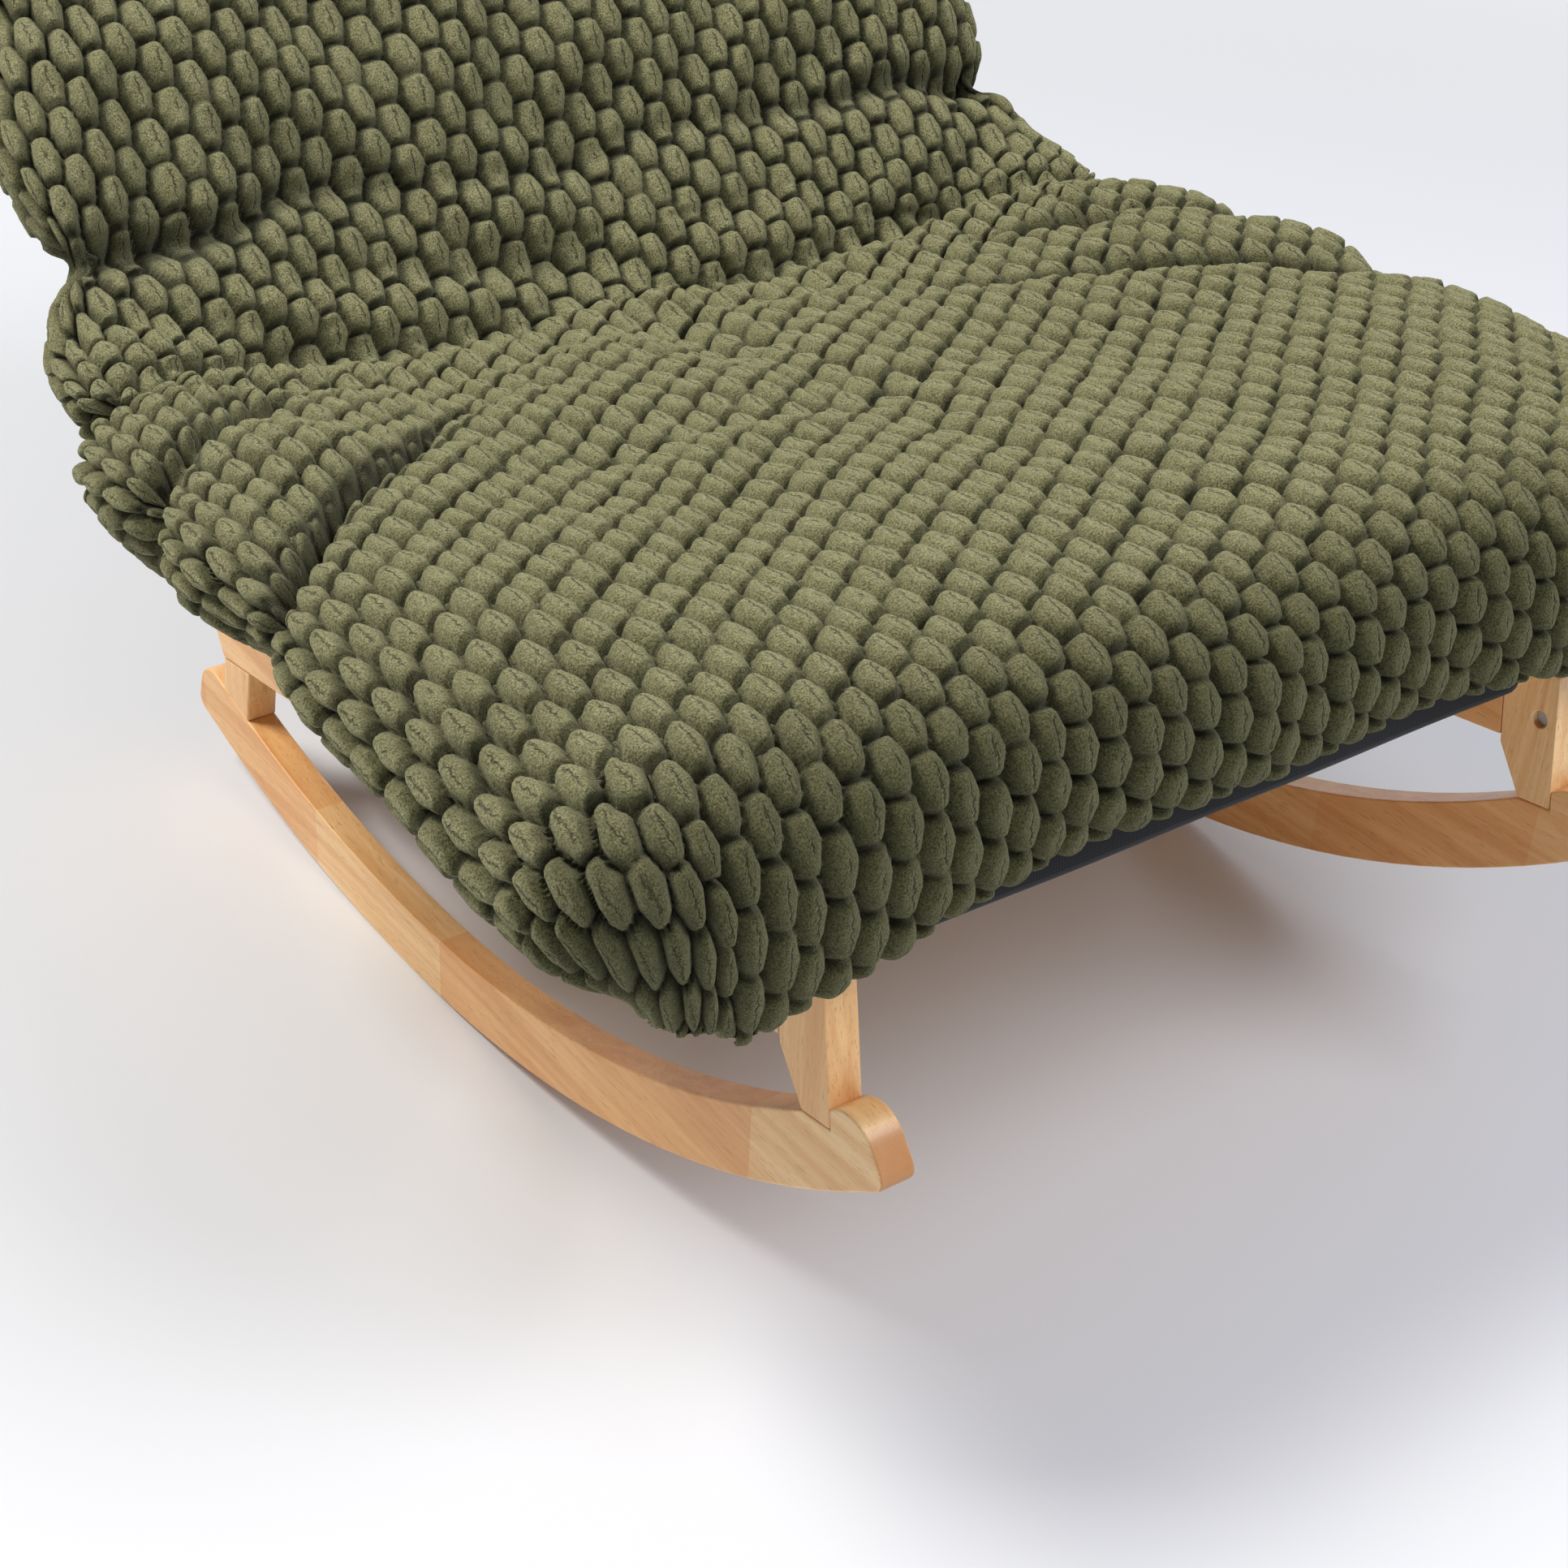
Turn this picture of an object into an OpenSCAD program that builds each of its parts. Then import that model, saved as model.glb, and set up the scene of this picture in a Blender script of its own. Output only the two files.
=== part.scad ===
// Bean bag rocking chair: a deep plush cushion on a low wooden rocker base.
// Millimetres. The front faces -Y, +Z is up, and the origin is the floor point
// under the middle of the chair where both rockers touch. The frame is drawn
// level, leant back onto its rockers and then rolled a little further back,
// along the rear running edge, to near where its weight balances.

/* [Base] */
// Width over the two rockers
base_w = 576; // [530:2:620]
// Thickness of the boards of both sides
board_t = 22; // [20:1:26]
// Angle by which the frame leans back where the two arcs of a rocker meet
lean = 4.7; // [3.5:0.1:6]
// Angle by which the empty chair rolls further back
roll_back = 4.5; // [3:0.1:6]

/* [Rockers] */
// Depth of a rocker board
rocker_depth = 45; // [42:1:50]
// Radius of the front arc of the running edge
front_radius = 800; // [770:5:840]
// Radius of the rear arc of the running edge
rear_radius = 960; // [920:5:1010]
// How far the front end lies in front of the place where the arcs meet
front_reach = 451; // [446:1:460]
// How far the rear end lies behind the place where the arcs meet
rear_reach = 364; // [354:1:380]
// Radius of the upper round at both ends
nose_r = 22; // [18:0.5:22]
// Radius of the lower round at both ends
nose_low_r = 9; // [7:0.5:12]

/* [Legs] */
// Front face of the front legs
front_leg_y = -415; // [-419:1:-411]
// Depth of a front leg above its taper
front_leg_w = 41.5; // [38:0.5:46]
// Depth of a front leg where it stands in the rocker's notch
foot_w = 25; // [22:0.5:28]
// Height of the taper above the foot
foot_taper = 33; // [26:1:38]
// Middle of the rear legs on the rockers' upper edge
rear_leg_y = 289; // [284:1:294]
// Depth of a rear leg, square to its length
rear_leg_w = 37.5; // [36:0.5:42]
// Slant of the rear legs, foot rearward, in degrees
rear_leg_slant = 20; // [16:1:24]

/* [Seat frame] */
// Lower edge of the side rails above the level ground line
rail_low = 153; // [150:1:157]
// Depth of the side rails
rail_h = 78; // [74:1:84]
// Depth of the cross rails
cross_h = 31; // [28:1:34]
// Thickness of the cross rails
cross_t = 22; // [20:1:26]
// Setback of the front cross rail behind the front of the legs
cross_setback = 14.5; // [12:0.5:17]
// Front face of the middle cross rail
middle_cross_y = -95; // [-130:5:-60]
// Front face of the rear cross rail
rear_cross_y = 186; // [176:2:192]
// Thickness of the plywood deck
deck_t = 12; // [9:1:15]
// Setback of the deck from the outer faces of the sides
deck_inset = 4; // [2:1:8]

/* [Back frame] */
// Angle of the back from the deck, in degrees
back_angle = 70; // [68:1:73]
// Where the line of the back panel's face meets the top of the base cloth
back_foot_y = 267; // [262:1:272]
// Depth of the back uprights
upright_w = 45; // [40:1:50]
// Thickness of the back uprights
upright_t = 22; // [20:1:26]
// Length of the uprights above the deck
upright_rise = 560; // [520:5:600]
// Width of the three back rails
back_rail_w = 45; // [40:1:60]
// Thickness of the three back rails
back_rail_t = 20; // [18:1:24]
// Thickness of the back panel
panel_t = 6; // [4:1:8]

/* [Cloth] */
// Thickness of the black cloth
cloth_t = 1.2; // [0.8:0.1:1.6]
// Thickness of the hemmed front flap
flap_t = 3; // [2:0.5:4]
// Width of the front flap
flap_w = 488; // [460:2:500]
// Radius of the flap's lower corners
flap_r = 10; // [6:1:16]

/* [Cushion] */
// Width of the cushion at the seat
cushion_w = 900; // [860:5:940]
// Width of the cushion at the head end
head_w = 670; // [640:5:720]
// How far the nose overhangs the front legs
nose_over = 35; // [28:1:42]
// Thickness of the seat in its middle
seat_t = 119; // [105:1:130]
// Thickness of the back in its middle
back_t = 92; // [82:1:100]
// Thickness at the head end
head_t = 60; // [54:1:76]
// Radius of the bend from seat to back on the underside
bend_r = 215; // [205:5:230]
// Length of the cushion beyond the top of the uprights
head_over = 48; // [35:1:60]
// How far the sides wrap forward at the bend
side_lift = 95; // [70:5:110]
// How far the front corners hang below the deck
corner_droop = 50; // [36:1:54]
// Length from the nose at which the sides begin to rise
rise_start = 110; // [100:5:130]
// Length of the sides that hangs, from the nose
corner_run = 240; // [220:5:260]
// How far the sides of the back wrap rearward round the frame
back_wrap = 28; // [16:1:36]
// Seam between seat and lumbar part, measured from the nose
seat_seam = 518; // [500:2:535]
// Seam between lumbar and back part, measured from the nose
lumbar_seam = 880; // [860:2:900]
// Seam between back and head part, measured from the nose
back_seam = 1095; // [1075:5:1115]
// Depth of the seams at the sides of the cushion
seam_depth = 26; // [14:1:32]

/* [Hardware] */
// Diameter of the machine bolts
bolt_d = 6; // [5:0.5:7]
// Diameter of the bolt heads
bolt_head_d = 12; // [10:0.5:13]
// Height of the bolt heads
bolt_head_h = 5; // [4:0.5:6]
// Length of the bolts through rocker and leg
leg_bolt_len = 98; // [92:1:104]
// Diameter of the barrel nuts and insert nuts
nut_d = 10; // [9:0.5:11]
// Length of the barrel nuts and insert nuts
nut_len = 14; // [12:1:15]
// Diameter of the wooden dowels
dowel_d = 8; // [6:0.5:8]
// Length of the wooden dowels
dowel_len = 32; // [28:1:34]
// Diameter of the wood screws
screw_d = 4; // [3.5:0.1:4.5]
// Length of the deck's wood screws
deck_screw_len = 38; // [32:1:44]
// Clearance of bolts, nuts, dowels and screws in their holes, on the diameter
hole_play = 0.2; // [0.1:0.05:0.4]

/* [Hidden] */

wood = "BurlyWood";
plywood = "Tan";
steel = "LightSteelBlue";
cloth = "#17181b";
plush = "#6f7355";
arc_fn = 360;
round_fn = 48;
seat_play = 0.3;
// how little the flat under a rocker's end stands above the running edge
nose_lift = 0.02;
// share of the droop that is left at the very tip of the nose
tip_droop = 0.5;
// radius of the cushion's four corners in plan
corner_r = 70;
// length over which the nose and the head end round up to full thickness
nose_run = 75;
head_run = 70;
// how much narrower each side is at the nose than over the frame
nose_narrow = 12;
// half length of a seam's dent
seam_run = 26;
// waist ahead of the bend: depth, distance before the valley and half length
waist = 20;
waist_ahead = 90;
waist_run = 130;
// dent where seat and back meet
valley_dent = 12;
valley_run = 34;
// shallow crease in the seat: depth, distance before the seat's seam and half length
crease_dent = 4;
crease_ahead = 145;
crease_run = 30;
// lengths beyond the lumbar seam over which the sides fall back and wrap rearward
fall_run = 150;
wrap_run = 120;

front_sweep = asin(front_reach / front_radius);
rear_sweep = asin(rear_reach / rear_radius);
outer_x = base_w / 2;
inner_x = outer_x - board_t;
mid_x = outer_x - board_t / 2;
sides = [-1, 1];

// heights and places in the level drawing
foot_z = rocker_top(front_leg_y + foot_w, front_radius);
front_bolt_y = front_leg_y + foot_w / 2;
rear_foot_z = rocker_top(rear_leg_y, rear_radius);
rail_top = rail_low + rail_h;
deck_top = rail_top + deck_t;
cushion_z = deck_top + cloth_t;
front_cross_y = front_leg_y + cross_setback;
cross_z = rail_top - cross_h;

// line of the back: the panel's face, then panel, uprights and rails behind it
face_u = seat_play;
frame_u = face_u + panel_t;
upright_low = rail_low + 4;
deck_rear = back_foot_y - 45;

// the cushion's underside: flat on the deck, one bend, straight up the back
nose_y = front_leg_y - nose_over;
bend_y = back_foot_y - bend_r * tan(back_angle / 2);
flat_len = bend_y - nose_y;
bend_len = bend_r * back_angle * PI / 180;
back_start = flat_len + bend_len;
bend_end = [bend_y + bend_r * sin(back_angle), cushion_z + bend_r * (1 - cos(back_angle))];
foot_rise = (bend_end[1] - cushion_z) / sin(back_angle);
cushion_len = back_start + upright_rise - foot_rise + head_over;
valley_s = flat_len + bend_len * 0.59;

// Height of a rocker's upper and running edge in the level drawing
function rocker_top(y, r) =
    r * cos(lean) - sqrt((r - rocker_depth) ^ 2 - (y + r * sin(lean)) ^ 2);
function rocker_under(y, r) =
    r * cos(lean) - sqrt(r ^ 2 - (y + r * sin(lean)) ^ 2);

// Rolls the chair back on the floor along the rear arc
module rolled() {
    translate([0, 0, rear_radius])
        rotate([-roll_back, 0, 0])
            translate([0, 0, -rear_radius])
                children();
}

// Leans the level drawing back onto the rockers
module level() {
    rolled()
        rotate([-lean, 0, 0])
            children();
}

// Extrudes a side view through one side board, -1 left or 1 right
module side_board(side) {
    translate([side > 0 ? inner_x : -outer_x, 0, 0])
        rotate([90, 0, 90])
            linear_extrude(board_t)
                children();
}

// Frame with Z along the joint between a leg and its rocker, at the rocker's edge
module at_front_leg(side) {
    level()
        translate([side * mid_x, front_bolt_y, foot_z])
            children();
}

module at_rear_leg(side) {
    level()
        translate([side * mid_x, rear_leg_y, rear_foot_z])
            rotate([rear_leg_slant, 0, 0])
                children();
}

// Frame on the line of the back: Y square to it and rearward, Z up along it from the deck
module at_back() {
    level()
        translate([0, back_foot_y, cushion_z])
            rotate([-(90 - back_angle), 0, 0])
                children();
}

// Plain parts

// Bolt with its head's seat at z = 0 and its shank up
module bolt(len) {
    cylinder(d = bolt_d, h = len, $fn = round_fn);
    difference() {
        translate([0, 0, -bolt_head_h])
            cylinder(d = bolt_head_d, h = bolt_head_h, $fn = round_fn);
        translate([0, 0, -bolt_head_h - 1])
            cylinder(d = bolt_head_d * 0.45, h = bolt_head_h * 0.6 + 1, $fn = 6);
    }
}

// Hole for a bolt whose head is sunk into the wood below z = 0
module bolt_hole(len, sunk) {
    cylinder(d = bolt_d + hole_play, h = len, $fn = round_fn);
    if (sunk > 0)
        translate([0, 0, -sunk])
            cylinder(d = bolt_head_d + 2, h = sunk, $fn = round_fn);
}

// Barrel nut across the bolt, its axis along X
module barrel_nut() {
    difference() {
        translate([-nut_len / 2, 0, 0])
            rotate([0, 90, 0])
                cylinder(d = nut_d, h = nut_len, $fn = round_fn);
        translate([0, 0, -nut_d])
            cylinder(d = bolt_d + hole_play / 2, h = 2 * nut_d, $fn = round_fn);
    }
}

// Blind bore for a barrel nut, open on the inner face of the side
module barrel_nut_hole(side) {
    rotate([0, side * -90, 0])
        translate([0, 0, -nut_len / 2 - 0.5])
            cylinder(d = nut_d + hole_play, h = nut_len / 2 + board_t, $fn = round_fn);
}

module dowel() {
    translate([0, 0, -dowel_len / 2])
        cylinder(d = dowel_d, h = dowel_len, $fn = round_fn);
}

module dowel_hole() {
    translate([0, 0, -dowel_len / 2 - 1])
        cylinder(d = dowel_d + hole_play, h = dowel_len + 2, $fn = round_fn);
}

// Countersunk wood screw with the face of its head at z = 0, pointing down
module screw(len) {
    translate([0, 0, -screw_d * 0.6])
        cylinder(d1 = screw_d, d2 = screw_d * 2, h = screw_d * 0.6, $fn = round_fn);
    translate([0, 0, -len])
        cylinder(d = screw_d, h = len - screw_d * 0.6, $fn = round_fn);
}

module screw_hole(len) {
    translate([0, 0, -screw_d * 0.6 - hole_play / 2])
        cylinder(d1 = screw_d, d2 = screw_d * 2, h = screw_d * 0.6, $fn = round_fn);
    translate([0, 0, -hole_play / 2 - 0.01])
        cylinder(d = screw_d * 2, h = 1, $fn = round_fn);
    translate([0, 0, -len - 1])
        cylinder(d = screw_d + hole_play, h = len, $fn = round_fn);
}

// Rockers and legs

// One half of a rocker's side view, dir -1 to the front or 1 to the rear
module rocker_half(r, sweep, dir) {
    end_a = sweep - asin(nose_r / (r - nose_r));
    low_edge = r - nose_lift;
    intersection() {
        translate([0, r])
            difference() {
                circle(r, $fn = arc_fn);
                circle(r - rocker_depth, $fn = arc_fn);
            }
        polygon([[0, r], [0, -0.3 * r], [dir * 1.3 * r * tan(end_a), -0.3 * r]]);
    }
    translate([0, r])
        rotate(dir * end_a) {
            translate([0, -(r - rocker_depth + nose_r)])
                circle(nose_r, $fn = round_fn);
            translate([dir * (nose_r - nose_low_r), -(low_edge - nose_low_r)])
                circle(nose_low_r, $fn = round_fn);
            translate([dir > 0 ? -2 : -nose_r, -(low_edge - nose_low_r)])
                square([nose_r + 2, rocker_depth - nose_r - nose_low_r - nose_lift]);
            translate([dir > 0 ? -2 : -(nose_r - nose_low_r), -low_edge])
                square([nose_r - nose_low_r + 2, nose_low_r]);
        }
}

module rocker(side) {
    difference() {
        rolled()
            side_board(side) {
                rocker_half(front_radius, front_sweep, -1);
                rocker_half(rear_radius, rear_sweep, 1);
            }
        level()
            translate([side * mid_x - board_t, front_leg_y, foot_z])
                cube([2 * board_t, foot_w + 20, 60]);
        at_front_leg(side)
            translate([0, 0, -front_bolt_drop()])
                bolt_hole(leg_bolt_len + 2, 60);
        at_rear_leg(side)
            translate([0, 0, -rear_bolt_drop()])
                bolt_hole(leg_bolt_len + 2, 60);
    }
}

// Depth of the bolt heads' seats below the legs' feet
function front_bolt_drop() = foot_z - rocker_under(front_bolt_y, front_radius) - bolt_head_h - 6;
function rear_bolt_drop() = rocker_depth - bolt_head_h - 6;

// Height of the barrel nuts above the legs' feet
function front_nut_up() = leg_bolt_len - front_bolt_drop() - 8;
function rear_nut_up() = leg_bolt_len - rear_bolt_drop() - 8;

module front_leg(side) {
    difference() {
        level()
            side_board(side)
                polygon([
                    [front_leg_y, foot_z],
                    [front_leg_y + foot_w, foot_z],
                    [front_leg_y + front_leg_w, foot_z + foot_taper],
                    [front_leg_y + front_leg_w, rail_top],
                    [front_leg_y, rail_top]
                ]);
        at_front_leg(side) {
            bolt_hole(leg_bolt_len - front_bolt_drop() + 3, 0);
            translate([0, 0, front_nut_up()])
                barrel_nut_hole(side);
        }
        at_rail_dowels(side)
            dowel_hole();
        at_cross_dowels(side, front_cross_y)
            dowel_hole();
    }
}

// Side view of a rear leg: a slanted block between the rocker's edge and the side rail
module rear_leg(side) {
    difference() {
        level()
            side_board(side)
                intersection() {
                    translate([rear_leg_y, rear_foot_z])
                        rotate(rear_leg_slant)
                            translate([-rear_leg_w / 2, -rocker_depth])
                                square([rear_leg_w, rocker_depth + rail_h]);
                    translate([rear_leg_y - 3 * rear_leg_w, 0])
                        square([6 * rear_leg_w, rail_low]);
                    translate([-rear_radius * sin(lean), rear_radius * cos(lean)])
                        circle(rear_radius - rocker_depth, $fn = arc_fn);
                }
        at_rear_leg(side)
            translate([0, 0, -1])
                bolt_hole(leg_bolt_len, 0);
        at_rear_dowels(side)
            dowel_hole();
    }
}

// Seat frame

// Dowels between a side rail and the front leg, along Y
module at_rail_dowels(side) {
    level()
        for (z = [rail_low + rail_h * 0.2, rail_low + rail_h * 0.5])
            translate([side * mid_x, front_leg_y + front_leg_w, z])
                rotate([90, 0, 0])
                    children();
}

// Dowels between a rear leg and the side rail above it
module at_rear_dowels(side) {
    up = (rail_low - rear_foot_z) / cos(rear_leg_slant);
    at_rear_leg(side)
        for (dy = [-1, 1] * (rear_leg_w / 2 - dowel_d / 2 - 3.2))
            translate([0, dy, up])
                children();
}

// Dowels between a side and the end of a cross rail, along X
module at_cross_dowels(side, y) {
    level()
        for (z = [0.27, 0.73] * cross_h)
            translate([side * (inner_x + dowel_shift), y + cross_t / 2, cross_z + z])
                rotate([0, 90, 0])
                    children();
}

// the boards of the sides are thin, so these dowels sit deeper in the rail
dowel_shift = board_t - 5 - dowel_len / 2;

module side_rail(side) {
    back_top = back_foot_y + (frame_u + upright_w) / sin(back_angle);
    end_run = rail_h / tan(back_angle);
    difference() {
        level()
            side_board(side)
                polygon([
                    [front_leg_y + front_leg_w, rail_low],
                    [back_top - end_run + 4, rail_low],
                    [back_top + 4, rail_top],
                    [front_leg_y + front_leg_w, rail_top]
                ]);
        at_rail_dowels(side)
            dowel_hole();
        at_rear_dowels(side)
            dowel_hole();
        at_rear_leg(side) {
            bolt_hole(leg_bolt_len - rear_bolt_drop() + 3, 0);
            translate([0, 0, rear_nut_up()])
                barrel_nut_hole(side);
        }
        for (y = [middle_cross_y, rear_cross_y])
            at_cross_dowels(side, y)
                dowel_hole();
        at_back_bolts(side)
            translate([0, 0, upright_t])
                cylinder(d = nut_d + hole_play, h = nut_len + 2, $fn = round_fn);
        at_deck_screws(side)
            screw_hole(deck_screw_len);
    }
}

module cross_rail(y) {
    difference() {
        level()
            translate([-inner_x, y, cross_z])
                cube([2 * inner_x, cross_t, cross_h]);
        for (side = sides)
            at_cross_dowels(side, y)
                dowel_hole();
    }
}

// Deck screws in rows along the side rails
module at_deck_screws(side) {
    first_y = front_leg_y + front_leg_w + 25;
    step = (rear_cross_y - 14 - first_y) / 3;
    level()
        for (i = [0:3])
            translate([side * mid_x, first_y + i * step, deck_top])
                children();
}

module deck() {
    difference() {
        level()
            translate([-outer_x + deck_inset, front_cross_y, rail_top])
                cube([2 * (outer_x - deck_inset), deck_rear - front_cross_y, deck_t]);
        for (side = sides)
            at_deck_screws(side)
                screw_hole(deck_screw_len);
    }
}

// Back frame

upright_x = inner_x - upright_t;
upright_foot = (upright_low - cushion_z) / sin(back_angle);

// Two bolts from the inner face of each upright into the side rail, along X,
// one behind the other so that they hold the back's angle
module at_back_bolts(side) {
    for (i = [0, 1])
        at_back()
            translate([
                side * upright_x,
                frame_u + upright_w / 2 + (i - 0.5) * 18,
                (rail_low + rail_h * (0.56 + 0.27 * i) - cushion_z) / sin(back_angle)
            ])
                rotate([0, side * 90, 0])
                    children();
}

module upright(side) {
    difference() {
        at_back()
            translate([side > 0 ? upright_x : -inner_x, frame_u, upright_foot])
                cube([upright_t, upright_w, upright_rise - upright_foot]);
        at_back_bolts(side)
            translate([0, 0, -1])
                cylinder(d = bolt_d + hole_play, h = upright_t + 2, $fn = round_fn);
        for (i = [0:2])
            at_back_dowels(side, i)
                dowel_hole();
        at_panel_screws(side)
            screw_hole(panel_screw_len);
    }
}

// Heights of the three back rails along the back, between the panel's ends
function back_rail_up(i) = panel_low + 20 + i * (upright_rise - panel_low - 40 - back_rail_w) / 2;
panel_low = foot_rise + 6;
panel_screw_len = 26;

// Dowels between an upright and a back rail, along X
module at_back_dowels(side, i) {
    at_back()
        for (z = [0.25, 0.75] * back_rail_w)
            translate([
                side * (upright_x + upright_t - 5 - dowel_len / 2),
                frame_u + back_rail_t / 2,
                back_rail_up(i) + z
            ])
                rotate([0, 90, 0])
                    children();
}

module back_rail(i) {
    difference() {
        at_back()
            translate([-upright_x, frame_u, back_rail_up(i)])
                cube([2 * upright_x, back_rail_t, back_rail_w]);
        for (side = sides)
            at_back_dowels(side, i)
                dowel_hole();
    }
}

// Panel screws through the panel's face into the uprights, level with the back rails
module at_panel_screws(side) {
    for (i = [0:2])
        at_back()
            translate([
                side * (inner_x - upright_t / 2),
                face_u,
                back_rail_up(i) + back_rail_w / 2
            ])
                rotate([90, 0, 0])
                    children();
}

module panel() {
    difference() {
        at_back()
            translate([-inner_x, face_u, panel_low])
                cube([2 * inner_x, panel_t, upright_rise - panel_low]);
        for (side = sides)
            at_panel_screws(side)
                screw_hole(panel_screw_len);
    }
}

// Black cloth

module base_cloth_sheet() {
    level()
        translate([-outer_x + deck_inset, front_cross_y - flap_t, deck_top])
            cube([2 * (outer_x - deck_inset), deck_rear - front_cross_y + flap_t, cloth_t]);
}

// The flap hangs from the base cloth over the deck's edge and the front cross rail
module flap() {
    low = cross_z + 0.4;
    level()
        translate([0, front_cross_y, 0])
            rotate([90, 0, 0])
                linear_extrude(flap_t) {
                    translate([-flap_w / 2, low + flap_r])
                        square([flap_w, deck_top - low - flap_r]);
                    translate([-flap_w / 2 + flap_r, low])
                        square([flap_w - 2 * flap_r, flap_r]);
                    for (side = sides)
                        translate([side * (flap_w / 2 - flap_r), low + flap_r])
                            circle(flap_r, $fn = round_fn);
                }
}

module back_cloth_sheet() {
    low = (rail_top + 12 - cushion_z) / sin(back_angle);
    at_back()
        translate([-inner_x, frame_u + upright_w, low])
            cube([2 * inner_x, cloth_t, upright_rise - low]);
}

// Cushion

// Underside line at length s from the nose: [y, z, slope]
function under(s) =
    s < flat_len ? [nose_y + s, cushion_z, 0]
    : s < back_start ?
        let (a = (s - flat_len) / bend_r * 180 / PI)
        [bend_y + bend_r * sin(a), cushion_z + bend_r * (1 - cos(a)), a]
    : let (d = s - back_start)
        [bend_end[0] + d * cos(back_angle), bend_end[1] + d * sin(back_angle), back_angle];

function clamp01(x) = min(1, max(0, x));
function ramp(s, a, b) = clamp01((s - a) / (b - a));
function dent(s, at, w) = exp(-((s - at) / w) ^ 2);

// Rounding of the nose and of the head end, from 0 at the tip to 1
function nose_round(s) = (1 - (1 - clamp01(s / nose_run)) ^ 2.3) ^ (1 / 2.3);
function head_round(s) = (1 - (1 - clamp01((cushion_len - s) / head_run)) ^ 2.3) ^ (1 / 2.3);

// Seams between the parts, and the valley where seat and back meet
function seams(s) =
    dent(s, seat_seam, seam_run) + dent(s, lumbar_seam, seam_run) + dent(s, back_seam, seam_run);

// What a rounded corner takes off the side at a distance d from the end of the cushion
function corner_cut(d) = corner_r * (1 - sqrt(1 - (1 - clamp01(d / corner_r)) ^ 2));

// Half width, drawn in at the seams and rounded at both ends
function half_w(s) =
    cushion_w / 2
    - (cushion_w - head_w) / 2 * ramp(s, flat_len, cushion_len)
    - waist * dent(s, valley_s - waist_ahead, waist_run)
    - nose_narrow * (1 - ramp(s, 60, corner_run + 20)) ^ 1.5
    - 0.7 * seam_depth * seams(s)
    - corner_cut(s)
    - corner_cut(cushion_len - s);

// Thickness in the middle: even over the seat, thinner round the bend and up the back
function thick(s) =
    (seat_t - (seat_t - back_t) * ramp(s, flat_len - 40, back_start)
        - (back_t - head_t) * ramp(s, back_start, cushion_len))
    * (0.47 + 0.53 * min(nose_round(s), head_round(s)))
    - valley_dent * dent(s, valley_s, valley_run)
    - crease_dent * dent(s, seat_seam - crease_ahead, crease_run);

// The sides rise from the nose to the bend, hang down at the front corners and
// wrap rearward round the upper part of the back frame
function lift(s) =
    side_lift * (s < valley_s ? ramp(s, rise_start, valley_s) ^ 0.8
        : 1 - 0.85 * ramp(s, valley_s, lumbar_seam + fall_run));
function droop(s) =
    corner_droop * (1 - ramp(s, 50, corner_run)) ^ 1.3
    * (tip_droop + (1 - tip_droop) * nose_round(s))
    + back_wrap * ramp(s, lumbar_seam, lumbar_seam + wrap_run) * head_round(s);

// Underside between the frame's sides: on the deck, and turned up at both tips
function seat_line(s) =
    18 * (1 - clamp01(s / 10)) ^ 2 - 9 * sin(180 * clamp01(s / nose_over))
    + 22 * (1 - clamp01((cushion_len - s) / 40)) ^ 2 + seat_play;

function top_h(s, x) =
    let (w = half_w(s), t = thick(s), r = min(1, abs(x) / w))
    lift(s) * r ^ 3 + 0.42 * t + 0.58 * t * sqrt(1 - r ^ 9)
    - seam_depth * seams(s) * (0.3 + 0.7 * clamp01((r - 0.2) / 0.5)) * sqrt(1 - r ^ 5);

// Underside of the wings outside the frame, v from 0 at the frame to 1 at the edge
function wing_h(s, v) =
    let (t = thick(s))
    lift(s) * v ^ 1.5 + 0.42 * t - (0.42 * t + droop(s) - seat_line(s)) * sqrt(1 - v ^ 2.5);

// Point of a wing's underside, dir -1 left or 1 right of the flat middle
function wing_point(s, dir, flat, v) =
    [dir * (flat + 1 + (half_w(s) - flat - 1) * v), wing_h(s, v)];

// One closed section across the cushion, in steps over the top and back underneath
top_steps = 20;
wing_steps = 6;
function section(s) =
    let (
        w = half_w(s),
        flat = min(outer_x + 2, w - 45),
        over = [for (i = [0:top_steps]) let (x = w * cos(180 * i / top_steps)) [x, top_h(s, x)]],
        left = [for (i = [1:wing_steps]) wing_point(s, -1, flat, cos(90 * i / wing_steps))],
        right = [for (i = [wing_steps:-1:1]) wing_point(s, 1, flat, cos(90 * i / wing_steps))]
    )
    concat(over, left, [[-flat, seat_line(s)], [flat, seat_line(s)]], right);

// Closed solid through the sections from s0 to s1, spaced closer at a rounded tip
module cushion_part(s0, s1, n, pack0, pack1) {
    stations = [for (i = [0:n])
        let (u = i / n, e = pack0 ? u ^ 1.7 : pack1 ? 1 - (1 - u) ^ 1.7 : u)
        s0 + (s1 - s0) * e];
    rings = [for (s = stations) let (p = under(s)) [
        for (q = section(s))
            [q[0], p[0] - q[1] * sin(p[2]), p[1] + q[1] * cos(p[2])]
    ]];
    m = len(rings[0]);
    points = [for (r = rings) each r];
    skin = [for (i = [0:n - 1], j = [0:m - 1])
        let (a = i * m + j, b = i * m + (j + 1) % m, c = a + m, d = b + m)
        each [[a, b, d], [a, d, c]]];
    front_cap = [[for (j = [m - 1:-1:0]) j]];
    rear_cap = [[for (j = [0:m - 1]) n * m + j]];
    level()
        polyhedron(points, concat(skin, front_cap, rear_cap), convexity = 6);
}

// Nodes

module left_rocker() {
    color(wood)
        rocker(-1);
}

module right_rocker() {
    color(wood)
        rocker(1);
}

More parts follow.
